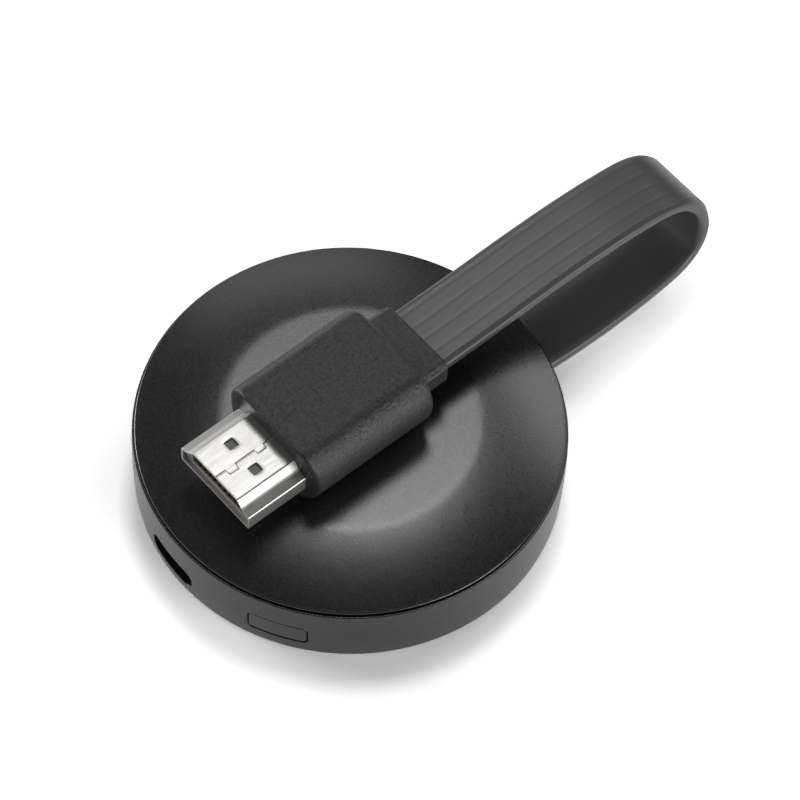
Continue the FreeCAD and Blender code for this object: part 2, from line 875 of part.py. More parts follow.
def make_case_cable_end():
    """The gland in the wall, the cable's stretch inside the case, its clamp, screws and header."""
    gland = case_body("cable_gland")
    gap = s.fit_gap / 2
    depth = s.gland_depth
    block(
        gland,
        (-gland_half_width + gap, gland_reach - depth, gland_low + gap),
        (gland_half_width * 2 - gap * 2, depth, gland_high - gap * 2),
    )
    lip = s.gland_flange_lip
    flange = (gland_half_width * 2 + lip * 2, s.gland_flange_depth, gland_high + lip * 2)
    flange_middle = gland_flange_rear - s.gland_flange_depth / 2
    centred_block(gland, 0, flange_middle, gland_low - lip, flange)
    hole = ribbon_section(s.ribbon_height, s.ribbon_gap)
    through = s.gland_depth * 2
    pocket(outline(new_sketch(gland, "XZ_Plane", through - gland_reach), hole), through * 2)
    inner = case_body("inner_cable")
    pad(
        outline(new_sketch(inner, "XZ_Plane", -gland_reach), ribbon_section(s.ribbon_height)),
        gland_reach - header_rear,
    )
    header = case_body("cable_header")
    low = board_top - s.header_height
    size = (s.header_width, s.header_depth, s.header_height)
    centred_block(header, 0, header_front + s.header_depth / 2, low, size)
    clamp = case_body("cable_clamp")
    size = (s.clamp_length, s.shelf_depth, s.clamp_thickness)
    centred_block(clamp, 0, clamp_middle, ribbon_top, size)
    screws = case_body("clamp_screws")
    for side in (s.clamp_screw_side, -s.clamp_screw_side):
        low = ribbon_top - s.fit_gap
        high = s.clamp_thickness + s.fit_gap * 2
        post(clamp, side, clamp_middle, low, s.clamp_screw_radius + s.fit_gap, high, True)
        shank_low = ribbon_top - s.ribbon_thickness + s.fit_gap
        head_low = ribbon_top + s.clamp_thickness
        post(screws, side, clamp_middle, shank_low, s.clamp_screw_radius, head_low - shank_low)
        post(screws, side, clamp_middle, head_low, s.clamp_head_radius, s.clamp_head_height)


def shell_profile(inset=0):
    """The plug shell's section, narrow face up; inset moves every side inwards."""
    low = shell_low + inset
    wide = s.shell_half_width - inset
    corner = s.shell_corner
    right_half = [
        (wide - corner, low, corner),
        (wide, low + corner),
        (wide, s.shell_top - s.shell_shoulder_drop - inset / 2),
        (s.shell_shoulder_half - inset / 2, s.shell_top - s.shell_bevel - inset),
        (s.shell_flat_half - inset / 2, s.shell_top - inset),
    ]
    return mirrored(right_half)


def make_plug_mould():
    """The plug's outer moulding: flat top and bottom, joined by sides that are bowed arcs."""
    body = plug_body("plug_mould")
    half = s.mould_half_height
    bulge = s.mould_half_width - s.mould_flat_half
    side_bow = (half * half + bulge * bulge) / (bulge * 2)
    right_half = [(s.mould_flat_half, -half, side_bow), (s.mould_flat_half, half)]
    pad(outline(new_sketch(body, "XZ_Plane", -mould_rear), mirrored(right_half)), s.mould_length)
    round_edges(body, s.mould_edge_round, along_plug)
    round_edges(body, s.mould_front_round, at_depth(-s.mould_front))
    round_edges(body, s.mould_rear_round, at_depth(mould_rear))
    front = s.mould_front + s.can_wall
    shell_hole = shell_profile(-s.ribbon_gap)
    pocket(outline(new_sketch(body, "XZ_Plane", front), shell_hole), front)
    gap = s.can_gap
    wide = s.shell_half_width + s.can_wall + gap * 2
    low = shell_low - s.can_wall - gap * 2
    high = s.shell_height + (s.can_wall + gap * 2) * 2
    room = s.can_front + gap + can_rear + gap
    block(body, (-wide, -(s.can_front + gap), low), (wide * 2, room, high), True)
    slot = ribbon_section(0, s.ribbon_gap)
    behind = mould_rear + s.mould_rear_wall
    pocket(outline(new_sketch(body, "XZ_Plane", -behind), slot), s.mould_rear_wall * 3, True)
    return body


def make_strain_relief():
    """The stepped collar behind the moulding, with the cable in its middle."""
    body = plug_body("strain_relief")
    half = s.relief_half_height
    step = s.relief_side_step
    right_half = [
        (s.relief_half_width - step, -half),
        (s.relief_half_width, -half + step),
        (s.relief_half_width, half - step),
        (s.relief_half_width - step, half),
    ]
    pad(outline(new_sketch(body, "XZ_Plane", -relief_rear), mirrored(right_half)), s.relief_length)
    round_edges(body, s.relief_round, at_depth(relief_rear))
    hole = ribbon_section(0, s.ribbon_gap)
    behind = relief_rear + s.fit_gap
    pocket(outline(new_sketch(body, "XZ_Plane", -behind), hole), s.relief_length * 2, True)
    return body


def make_plug_tail():
    """The cable's end inside the strain relief and the moulding."""
    body = plug_body("plug_cable_end")
    front = filling_rear + s.fit_gap
    pad(
        outline(new_sketch(body, "XZ_Plane", -relief_rear), ribbon_section(0)),
        relief_rear - front,
    )
    return body


def make_plug_can():
    """The steel can around the back of the plug, inside the moulding."""
    body = plug_body("shield_can")
    gap = s.can_gap
    wide = s.shell_half_width + s.can_wall + gap
    low = shell_low - s.can_wall - gap
    high = s.shell_height + (s.can_wall + gap) * 2
    deep = s.can_front + can_rear
    block(body, (-wide, -s.can_front, low), (wide * 2, deep, high))
    inner = (wide * 2 - s.can_wall * 2, deep, high - s.can_wall * 2)
    block(body, (-wide + s.can_wall, -s.can_front - s.can_wall, low + s.can_wall), inner, True)
    behind = can_rear + s.can_wall
    slot = ribbon_section(0, s.ribbon_gap)
    pocket(outline(new_sketch(body, "XZ_Plane", -behind), slot), s.can_wall * 3, True)
    return body


def make_plug_shell():
    """The plug's steel shell: a folded tube with two latch windows in each broad face."""
    body = plug_body("plug_shell")
    long = shell_rear - shell_tip
    pad(outline(new_sketch(body, "XZ_Plane", -shell_rear), shell_profile()), long)
    beyond = s.shell_wall - shell_tip
    inner = shell_profile(s.shell_wall)
    pocket(outline(new_sketch(body, "XZ_Plane", beyond), inner), long + s.shell_wall * 2)
    side = s.window_side
    low = shell_low - s.shell_wall
    for sign in (1, -1):
        high = s.shell_height + s.shell_wall * 2
        middle = shell_tip + s.window_setback
        centred_block(body, s.window_spread * sign, middle, low, (side, side, high), True)
    return body


def make_plug_core():
    """The black moulding in the shell, with the slot that the mating tongue enters."""
    body = plug_body("plug_core")
    inner = shell_profile(s.shell_wall + s.ribbon_gap)
    pad(outline(new_sketch(body, "XZ_Plane", -core_rear), inner), core_rear - core_front)
    slot = (s.slot_half_width * 2, core_rear - core_front + s.fit_gap * 2, s.slot_height)
    block(body, (-s.slot_half_width, core_front - s.fit_gap, slot_low), slot, True)
    between = s.slot_height - s.contact_thickness * 2 - s.fit_gap
    wide = s.slot_half_width * 2 + s.fit_gap
    deep = core_rear - core_front - s.slot_depth
    low = slot_low + s.contact_thickness + s.fit_gap / 2
    centred_block(body, 0, core_rear - deep / 2, low, (wide, deep, between))
    return body


def contact_columns():
    """The places across the plug of its upper ten and lower nine contacts."""
    upper = [(s.contact_pitch * (step + 0.5), 1) for step in range(-5, 5)]
    lower = [(s.contact_pitch * step, -1) for step in range(-4, 5)]
    return upper + lower


def make_contacts_and_wires():
    """The plug's nineteen contacts in two rows, and the wires that lead on from them."""
    contacts = plug_body("plug_contacts")
    wires = plug_body("plug_wires")
    contact_sketch = new_sketch(contacts, "XZ_Plane", -contact_rear)
    wire_sketch = new_sketch(wires, "XZ_Plane", -filling_rear)
    for side, row in contact_columns():
        low = slot_high - s.contact_thickness if row > 0 else slot_low
        left = side - s.contact_width / 2
        outline(contact_sketch, plain_box(left, low, s.contact_width, s.contact_thickness))
        rise = slot_middle + (s.slot_height - s.contact_thickness) / 2 * row
        ring(wire_sketch, side, rise, s.wire_radius)
    pad(contact_sketch, contact_rear - (core_front + s.fit_gap))
    pad(wire_sketch, filling_rear - contact_rear)


def make_filling():
    """The hot-melt filling around the wires, in the can."""
    body = plug_body("wire_filling")
    wide = s.shell_half_width * 2
    high = s.shell_height
    block(body, (-wide / 2, filling_front, shell_low), (wide, filling_rear - filling_front, high))
    channel = (
        s.slot_half_width * 2,
        filling_rear - filling_front + s.fit_gap * 2,
        s.filling_channel_height,
    )
    low = slot_middle - s.filling_channel_height / 2
    block(body, (-s.slot_half_width, filling_front - s.fit_gap, low), channel, True)
    return body


def way_out():
    """The direction in which the cable leaves the case."""
    turn = math.radians(s.port_turn.value)
    return Vector(math.sin(turn), math.cos(turn), 0)


def ribbon_route():
    """The points of the free cable's centre line: out of the gland, round the loop and back over the
    cover to the plug. The first point lies a little inside the gland, where the end is cut."""
    low = s.ribbon_height.value
    gland = way_out() * gland_reach.value + Vector(0, 0, low)
    relief_end = relief_rear - s.plug_forward
    relief = Vector(-s.plug_side.value, relief_end.value, plug_height.value)
    corners = [Vector(x, y, low + rise) for x, y, rise in LOOP_CORNERS]
    start = [gland - way_out() * CABLE_OVERLENGTH, gland + way_out() * CABLE_STRAIGHT_OUT]
    return start + corners + [relief + Vector(0, CABLE_STRAIGHT_IN, 0), relief]


def rounded_path(points):
    """Straight runs joined by tangent arcs: each arc takes 0.45 of the shorter of its two runs."""
    edges = []
    radii = []
    start = points[0]
    for before, corner, after in zip(points, points[1:], points[2:]):
        way_in = (corner - before).normalize()
        way_out = (after - corner).normalize()
        cut = ARC_SHARE * min((corner - before).Length, (after - corner).Length)
        half_turn = way_in.getAngle(way_out) / 2
        radius = cut / math.tan(half_turn)
        radii.append(radius)
        arc_start = corner - way_in * cut
        arc_stop = corner + way_out * cut
        to_middle = (way_out - way_in).normalize()
        middle = corner + to_middle * (radius / math.cos(half_turn) - radius)
        edges.append(Part.LineSegment(start, arc_start).toShape())
        edges.append(Part.Arc(arc_start, middle, arc_stop).toShape())
        start = arc_stop
    edges.append(Part.LineSegment(start, points[-1]).toShape())
    print("cable radii", [round(radius, 1) for radius in radii])
    return Part.Wire(edges)


def ribbon_outline_wire(place, along):
    """The cable's section as a wire square to the way along, with its width kept level."""
    across = Vector(0, 0, 1).cross(along).normalize() * -1
    up = across.cross(along).normalize()
    half_width = s.ribbon_width.value / 2
    half_thick = s.ribbon_thickness.value / 2
    edge = s.ribbon_edge_round.value
    diagonal = edge * (1 - math.sqrt(0.5))

    def spot(x, y):
        return place + across * x + up * y

    edges = []
    corners = [(1, -1), (1, 1), (-1, 1), (-1, -1)]
    for (x, y), (next_x, next_y) in zip(corners, corners[1:] + corners[:1]):
        first = spot(x * half_width, y * (half_thick - edge))
        last = spot(x * (half_width - edge), y * half_thick)
        if x * y < 0:
            first, last = last, first
        bend = spot(x * (half_width - diagonal), y * (half_thick - diagonal))
        edges.append(Part.Arc(first, bend, last).toShape())
        if x == next_x:
            side_end = spot(next_x * half_width, next_y * (half_thick - edge))
        else:
            side_end = spot(next_x * (half_width - edge), next_y * half_thick)
        edges.append(Part.LineSegment(last, side_end).toShape())
    return Part.Wire(edges)


def make_free_cable():
    """The free stretch of the flat cable, swept along its route with its width kept across the loop,
    and cut square at the gland's outer face."""
    points = ribbon_route()
    path = rounded_path(points)
    sweep = Part.BRepOffsetAPI.MakePipeShell(path)
    sweep.setBiNormalMode(Vector(1, 0, 0))
    section = ribbon_outline_wire(points[0], Vector(0, 1, 0))
    sweep.add(section, False, False)
    sweep.build()
    sweep.makeSolid()
    wide = s.ribbon_width.value * 2
    high = s.ribbon_height.value * 2
    inside = Part.makeBox(wide, wide, high, Vector(-wide / 2, gland_reach.value - wide, 0))
    inside.rotate(Vector(), Vector(0, 0, 1), -s.port_turn.value)
    cable = doc.addObject("Part::Feature", "flat_cable")
    cable.Label = "flat_cable"
    cable.Shape = sweep.shape().cut(inside)
    cable.Placement = Placement()
    sub_parts.append(cable)
    area = Part.Face(section).Area
    print(
        "cable length", round(path.Length, 2),
        "volume", round(cable.Shape.Volume, 1),
        "section times length", round(area * path.Length, 1),
    )


def check_features(body):
    """Makes sure that every added piece of a body adds to it and that every cut takes something away."""
    before = 0
    for feature in body.Group:
        if not feature.isDerivedFrom("PartDesign::Feature"):
            continue
        volume = feature.Shape.Volume
        rounding = feature.TypeId == "PartDesign::Fillet"
        change = before - volume if feature.TypeId in CUTS or rounding else volume - before
        if change < SAME_PLACE:
            raise RuntimeError(f"{body.Label}: {feature.Name} changes nothing")
        before = volume


def write_parts():
    """Checks every object and writes each sub-part to its own file."""
    doc.recompute()
    for thing in doc.Objects:
        if "Invalid" in thing.State or "Error" in thing.State:
            raise RuntimeError(f"{thing.Label} failed: {thing.State}")
    os.makedirs("parts", exist_ok=True)
    for part in sub_parts:
        shape = part.Shape
        if shape.isNull() or not shape.isValid() or shape.Volume <= 0:
            raise RuntimeError(f"{part.Label} has no valid shape")
        if part.isDerivedFrom("PartDesign::Body"):
            check_features(part)
        print(part.Label, len(shape.Solids), round(shape.Volume, 2))
        shape.exportStep(f"parts/{part.Label}.step")


make_bottom_case()
make_top_cover()
make_main_board()
make_board_screws()
make_processor()
make_thermal_pad()
make_heat_spreader()
make_underside_chips()
make_radio()
make_top_small_parts()
make_receptacle()
make_reset_button()
make_switch()
make_case_cable_end()
make_plug_mould()
make_strain_relief()
make_plug_tail()
make_plug_can()
make_plug_shell()
make_plug_core()
make_contacts_and_wires()
make_filling()
make_free_cable()
write_parts()
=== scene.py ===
import math

import bmesh
import bpy
import numpy as np
from mathutils import Matrix, Vector


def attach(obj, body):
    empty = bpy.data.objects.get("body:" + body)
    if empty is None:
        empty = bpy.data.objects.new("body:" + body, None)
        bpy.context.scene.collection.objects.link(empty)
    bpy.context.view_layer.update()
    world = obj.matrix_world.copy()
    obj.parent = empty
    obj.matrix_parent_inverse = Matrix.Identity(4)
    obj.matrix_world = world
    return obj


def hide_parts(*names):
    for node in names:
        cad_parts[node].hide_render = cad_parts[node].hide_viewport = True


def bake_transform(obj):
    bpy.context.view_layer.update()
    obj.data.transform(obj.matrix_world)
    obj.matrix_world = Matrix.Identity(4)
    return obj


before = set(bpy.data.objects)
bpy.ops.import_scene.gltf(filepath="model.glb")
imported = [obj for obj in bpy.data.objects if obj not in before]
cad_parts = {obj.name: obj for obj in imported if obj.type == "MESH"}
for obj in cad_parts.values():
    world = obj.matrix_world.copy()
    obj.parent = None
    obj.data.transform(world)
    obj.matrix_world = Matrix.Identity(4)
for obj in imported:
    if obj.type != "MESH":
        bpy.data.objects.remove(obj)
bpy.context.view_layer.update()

bl_info = {
    "name": "Wireless display dongle",
    "version": (1, 0, 0),
    "blender": (4, 5, 0),
    "location": "3D View > Sidebar > Dongle",
    "description": "Dresses the packed model of a round display dongle with a flat cable and a plug",
    "category": "Object",
}

MM = 0.001

# Lengths are in millimetres here and in the surfaces, and become metres in new_piece.

# Turn about Z that takes the case's own frame, which faces -Y, to the row frame.
PORT_TURN = math.radians(-4.17)

# Where the plug's own frame lies: its middle is level with the shell's, and it looks along -Y.
PLUG_SIDE = -0.31
PLUG_FORWARD = -1.56
PLUG_HEIGHT = 19.15

# Centre line of the free flat cable: out of the gland, round the loop, over the cover.
CABLE_ROUTE = [
    (2.088, 28.644, 4.45),
    (2.387, 32.733, 4.45),
    (2.5, 41.2, 4.35),
    (2.25, 49.6, 4.45),
    (1.6, 56.7, 4.6),
    (1.1, 59.75, 8.65),
    (0.58, 58.85, 14.35),
    (0.16, 54.7, 18.65),
    (-0.19, 46.45, 19.4),
    (-0.47, 36.65, 19.35),
    (-0.42, 26.75, 19.25),
    (-0.31, 19.04, 19.15),
    (-0.31, 11.74, 19.15),
]


def linear(hex_colour):
    """The linear red, green, blue and alpha of an sRGB hex colour."""
    values = np.array([int(hex_colour[i : i + 2], 16) / 255 for i in (0, 2, 4)])
    low = values / 12.92
    high = ((values + 0.055) / 1.055) ** 2.4
    return (*np.where(values <= 0.04045, low, high).tolist(), 1.0)


def length_prop(name, description, default_mm):
    """A length that the user can change, in metres."""
    return bpy.props.FloatProperty(
        name=name, description=description, default=default_mm * MM, unit="LENGTH", precision=5
    )


def colour_prop(name, description, hex_colour):
    """A colour that the user can change."""
    return bpy.props.FloatVectorProperty(
        name=name, description=description, default=linear(hex_colour), size=4, subtype="COLOR", min=0, max=1
    )


class DongleCaseSettings(bpy.types.PropertyGroup):
    """Sizes and colours of the round case, its cover and its button."""

    crown_radius: length_prop("Crown radius", "Radius of the cover's flat middle", 17.4)
    crown_rise: length_prop("Crown rise", "Height of the flat middle above the cover's edge", 2.35)
    port_edge: length_prop("Opening edge round", "Round of the edges of the wall's openings", 0.14)
    button_gap: length_prop("Button gap", "Gap round the reset button's cap", 0.16)
    cover_colour: colour_prop("Cover", "Colour of the grained cover", "111112")
    wall_colour: colour_prop("Wall", "Colour of the satin wall and button", "161617")


class DongleCableSettings(bpy.types.PropertyGroup):
    """Sizes and colours of the flat cable."""

    width: length_prop("Width", "Width of the flat cable", 10.9)
    thickness: length_prop("Thickness", "Thickness of the flat cable", 2.3)
    step: length_prop("Edge step", "Depth of the step along both edges of the outer face", 0.13)
    flute: length_prop("Flute depth", "Depth of the faint flutes along the outer face", 0.02)
    jacket_colour: colour_prop("Jacket", "Colour of the cable's jacket", "4e4e4f")


class DonglePlugSettings(bpy.types.PropertyGroup):
    """Sizes and colours of the plug."""

    sheet: length_prop("Sheet", "Thickness of the plug's steel sheet", 0.3)
    seam: length_prop("Seam", "Width of the seam where the sheet's edges meet", 0.09)
    window: length_prop("Window", "Side of the square latch windows", 1.5)
    mould_colour: colour_prop("Moulding", "Colour of the grained moulding", "323233")
    steel_colour: colour_prop("Shell", "Colour of the plated steel shell", "d0cfcc")


class DongleStageSettings(bpy.types.PropertyGroup):
    """The camera's place, the floor and the lights."""

    distance: length_prop("Distance", "Distance from the camera to its target", 500.0)
    lens: bpy.props.FloatProperty(
        name="Lens", description="Focal length of the camera in millimetres", default=163.07
    )
    roll: bpy.props.FloatProperty(
        name="Roll", description="Roll of the camera", default=math.radians(3.479), subtype="ANGLE"
    )
    floor_colour: colour_prop("Floor", "Colour of the pale floor", "f4f4f4")
    floor_lift: bpy.props.FloatProperty(
        name="Floor lift", description="How much brighter the floor looks to the camera", default=1.6
    )
    floor_glow: bpy.props.FloatProperty(
        name="Floor glow", description="Light that the floor adds where the camera sees it", default=0.04
    )
    floor_mirror: bpy.props.FloatProperty(
        name="Floor mirror", description="Light that the floor adds in the part's reflections", default=0.42
    )
    world_strength: bpy.props.FloatProperty(
        name="World", description="Strength of the even light from all round", default=0.06
    )


# Surfaces


def turned(points, angle):
    """Points turned about Z: x and y become their cosine and sine mixtures, z stays."""
    c, s = math.cos(angle), math.sin(angle)
    turn = np.array([[c, s, 0], [-s, c, 0], [0, 0, 1]])
    return points @ turn


def softened(points, cuts, steps=5):
    """A line with its corners rounded. Each corner is replaced by the curve (1-t)^2 A + 2t(1-t) C + t^2 B
    through the corner C, where A and B lie the corner's cut before and after it on its two runs."""
    points = np.array(points, float)
    corner = points[1:-1]
    before = points[:-2] - corner
    after = points[2:] - corner
    cuts = np.array(cuts, float)[:, None]
    first = corner + before / np.linalg.norm(before, axis=1)[:, None] * cuts
    last = corner + after / np.linalg.norm(after, axis=1)[:, None] * cuts
    t = np.linspace(0, 1, steps)[None, :, None]
    bends = (1 - t) ** 2 * first[:, None] + 2 * t * (1 - t) * corner[:, None] + t**2 * last[:, None]
    return np.concatenate([points[:1], bends.reshape(-1, 2), points[-1:]])


def at_shares(line, shares):
    """Points at shares of the way along a line, by straight interpolation on its running length."""
    steps = np.linalg.norm(np.diff(line, axis=0), axis=1)
    way = np.concatenate([[0], np.cumsum(steps)])
    place = np.asarray(shares) * way[-1]
    return np.stack([np.interp(place, way, line[:, i]) for i in range(line.shape[1])], 1)


def four_ways(quarter, shares):
    """A closed outline from its first quarter, which runs from its right middle to its top middle, mirrored
    left and down. Shares of the whole way round start at the right middle, counter-clockwise."""
    quarter = np.array(quarter, float)
    top = quarter[::-1] * [-1, 1]
    whole = np.concatenate([quarter, top[1:], (quarter * [-1, -1])[1:], (top * [-1, -1])[1:]])
    return at_shares(whole, shares)


def rounded_loop(half_x, half_z, radius, shares):
    """The outline of a rounded rectangle: a quarter is a run up, a quarter circle and a run inwards."""
    angle = np.linspace(0, math.pi / 2, 17)
    bend = np.stack([half_x - radius + radius * np.cos(angle), half_z - radius + radius * np.sin(angle)], 1)
    return four_ways(np.concatenate([[(half_x, 0)], bend, [(0, half_z)]]), shares)


def grid_faces(rows, columns, closed_columns=False, closed_rows=False):
    """Quads of a grid of points stored row by row, with its ends joined where it is closed."""
    r = np.arange(rows if closed_rows else rows - 1)[:, None]
    c = np.arange(columns if closed_columns else columns - 1)[None, :]
    next_r = (r + 1) % rows
    next_c = (c + 1) % columns
    quads = [r * columns + c, r * columns + next_c, next_r * columns + next_c, next_r * columns + c]
    return np.stack(np.broadcast_arrays(*quads), -1).reshape(-1, 4)


def join(parts):
    """One set of points and faces from several."""
    points = np.concatenate([part[0] for part in parts])
    starts = np.cumsum([0] + [len(part[0]) for part in parts[:-1]])
    faces = np.concatenate([part[1] + start for part, start in zip(parts, starts)])
    return points, faces


def swept(loops, closed_rows=False):
    """A surface through loops of equal length, each joined to the next. With closed_rows the last loop
    joins the first, which gives a wall with an opening through it."""
    loops = np.array(loops)
    rows, columns = loops.shape[:2]
    return loops.reshape(-1, 3), grid_faces(rows, columns, True, closed_rows)


def revolved(profile, steps=256):
    """A surface of revolution: the point (r, z) goes to (r sin a, -r cos a, z) for each angle a."""
    profile = np.array(profile, float)
    a = np.linspace(0, 2 * math.pi, steps, endpoint=False)
    r = profile[:, :1]
    loops = np.stack([r * np.sin(a), -r * np.cos(a), np.broadcast_to(profile[:, 1:], (len(r), steps))], -1)
    return swept(loops)


def capped(loops, rings=4):
    """A closed body through loops, with each end shrunk in rings to its loop's middle."""
    loops = np.array(loops)
    shares = np.linspace(1, 0, rings + 1)[1:]
    ends = []
    for end in (loops[0], loops[-1]):
        middle = end.mean(0)
        ends.append([middle + (end - middle) * share for share in shares])
    return swept([*ends[0][::-1], *loops, *ends[1]])


def edge_steps(radius, steps):
    """A rounded edge as (inset, depth) pairs from its outside to its end face: a quarter circle, where the
    inset is the radius less its sine's part and the depth the radius less its cosine's part."""
    fall = np.linspace(0, math.pi / 2, steps)
    return np.stack([radius * (1 - np.sin(fall)), radius * (1 - np.cos(fall))], 1)


def circle_points(steps=32):
    """Points on a circle of radius one, from its right, counter-clockwise."""
    ring = np.linspace(0, 2 * math.pi, steps, endpoint=False)
    return np.stack([np.cos(ring), np.sin(ring)], 1)


def rounded_block(low, high, edge=0.08):
    """A closed block with softened upright edges and rounded rims, between two corners."""
    low, high = np.array(low, float), np.array(high, float)
    middle, half = (low + high) / 2, (high - low) / 2
    shares = np.linspace(0, 1, 48, endpoint=False)
    steps = edge_steps(edge, 4)
    insets = [*steps[:, 0], *steps[:, 1]]
    heights = [*(steps[:, 1] - half[2]), *(half[2] - steps[:, 0])]
    loops = []
    for inset, height in zip(insets, heights):
        loop = rounded_loop(half[0] - inset, half[1] - inset, edge * 1.5, shares)
        loops.append(np.column_stack([loop, np.full(len(loop), height)]) + middle)
    return capped(loops, 2)


def new_piece(name, shape, material, sharp=32, weld=True):
    """A mesh object from points in millimetres and faces, welded, facing outwards and shaded smooth up
    to an angle between faces."""
    points, faces = shape
    mesh = bpy.data.meshes.new(name)
    mesh.from_pydata((points * MM).tolist(), [], faces.tolist())
    mesh.materials.append(material)
    if weld:
        weld_mesh(mesh)
    mesh.shade_smooth()
    mesh.set_sharp_from_angle(angle=math.radians(sharp))
    piece = bpy.data.objects.new(name, mesh)
    bpy.context.scene.collection.objects.link(piece)
    return piece


def weld_mesh(mesh):
    """Merges doubles, which closes seams and poles, and turns the faces outwards."""
    work = bmesh.new()
    work.from_mesh(mesh)
    bmesh.ops.remove_doubles(work, verts=work.verts, dist=2e-7)
    bmesh.ops.dissolve_degenerate(work, edges=work.edges, dist=1e-8)
    loose = [vertex for vertex in work.verts if not vertex.link_faces]
    bmesh.ops.delete(work, geom=loose, context="VERTS")
    bmesh.ops.recalc_face_normals(work, faces=work.faces)
    work.to_mesh(mesh)
    work.free()


# Materials


def add_node(tree, kind, inputs=None, **settings):
    """Adds a node with its own settings. Inputs holds values, or the sockets that feed them."""
    node = tree.nodes.new(kind)
    for key, value in settings.items():
        setattr(node, key, value)
    for key, value in (inputs or {}).items():
        if isinstance(value, bpy.types.NodeSocket):
            tree.links.new(value, node.inputs[key])
        else:
            node.inputs[key].default_value = value
    return node


def empty_material(name):
    """A material with only its output node, and that node."""
    material = bpy.data.materials.new(name)
    material.use_nodes = True
    tree = material.node_tree
    tree.nodes.clear()
    return material, tree, tree.nodes.new("ShaderNodeOutputMaterial")


def place_in_mm(tree, stretch=(1, 1, 1)):
    """The place on a piece in millimetres. What is drawn with it is stretch times longer along each axis."""
    place = add_node(tree, "ShaderNodeTexCoord").outputs["Object"]
    scale = [1 / (MM * part) for part in stretch]
    return add_node(tree, "ShaderNodeMapping", {"Vector": place, "Scale": scale}).outputs["Vector"]


def scaled(tree, colour, factor):
    """A colour times a factor."""
    node = add_node(tree, "ShaderNodeVectorMath", {0: colour[:3], "Scale": factor}, operation="SCALE")
    return node.outputs["Vector"]


def product_sum(tree, first, second, added=0.0):
    """The first value times the second, plus what is added."""
    values = {0: first, 1: second, 2: added}
    return add_node(tree, "ShaderNodeMath", values, operation="MULTIPLY_ADD").outputs[0]


def spread_noise(tree, noise, low, high, clamp=True):
    """Spreads a noise between two values. The noise itself seldom leaves the range of 0.3 to 0.7."""
    inputs = {"Value": noise.outputs["Fac"], "From Min": 0.3, "From Max": 0.7, "To Min": low, "To Max": high}
    return add_node(tree, "ShaderNodeMapRange", inputs, clamp=clamp).outputs["Result"]


def surface_material(
    name,
    colour,
    roughness,
    grain=0.3,
    height=0.004,
    shift=0.05,
    spread=0.08,
    stretch=(1, 1, 1),
    glint=0.0,
    **shader_inputs,
):
    """A surface of one colour with a grain. Grain is its spacing and height its depth in millimetres,
    shift how far the colour varies, spread how far the roughness varies, stretch how many times longer
    the grain is along each axis, and glint how far the grain's tips shine more than its valleys."""
    material, tree, output = empty_material(name)
    place = place_in_mm(tree, stretch)
    fine = add_node(
        tree, "ShaderNodeTexNoise", {"Vector": place, "Scale": 1 / grain, "Detail": 3.0, "Roughness": 0.6}
    )
    broad = add_node(tree, "ShaderNodeTexNoise", {"Vector": place, "Scale": 0.12, "Detail": 2.0})
    mix = spread_noise(tree, broad, 1 - shift, 1 + shift)
    rough = spread_noise(tree, fine, roughness - spread, roughness + spread)
    bump = add_node(
        tree, "ShaderNodeBump", {"Height": fine.outputs["Fac"], "Strength": 1.0, "Distance": height * MM}
    )
    if glint:
        shine = shader_inputs.get("Specular IOR Level", 0.5)
        tips = spread_noise(tree, fine, shine * (1 - glint), shine * (1 + glint), clamp=False)
        shader_inputs["Specular IOR Level"] = tips
    shader = add_node(
        tree,
        "ShaderNodeBsdfPrincipled",
        {
            "Base Color": scaled(tree, colour, mix),
            "Roughness": rough,
            "Normal": bump.outputs["Normal"],
            **shader_inputs,
        },
    )
    tree.links.new(shader.outputs["BSDF"], output.inputs["Surface"])
    return material


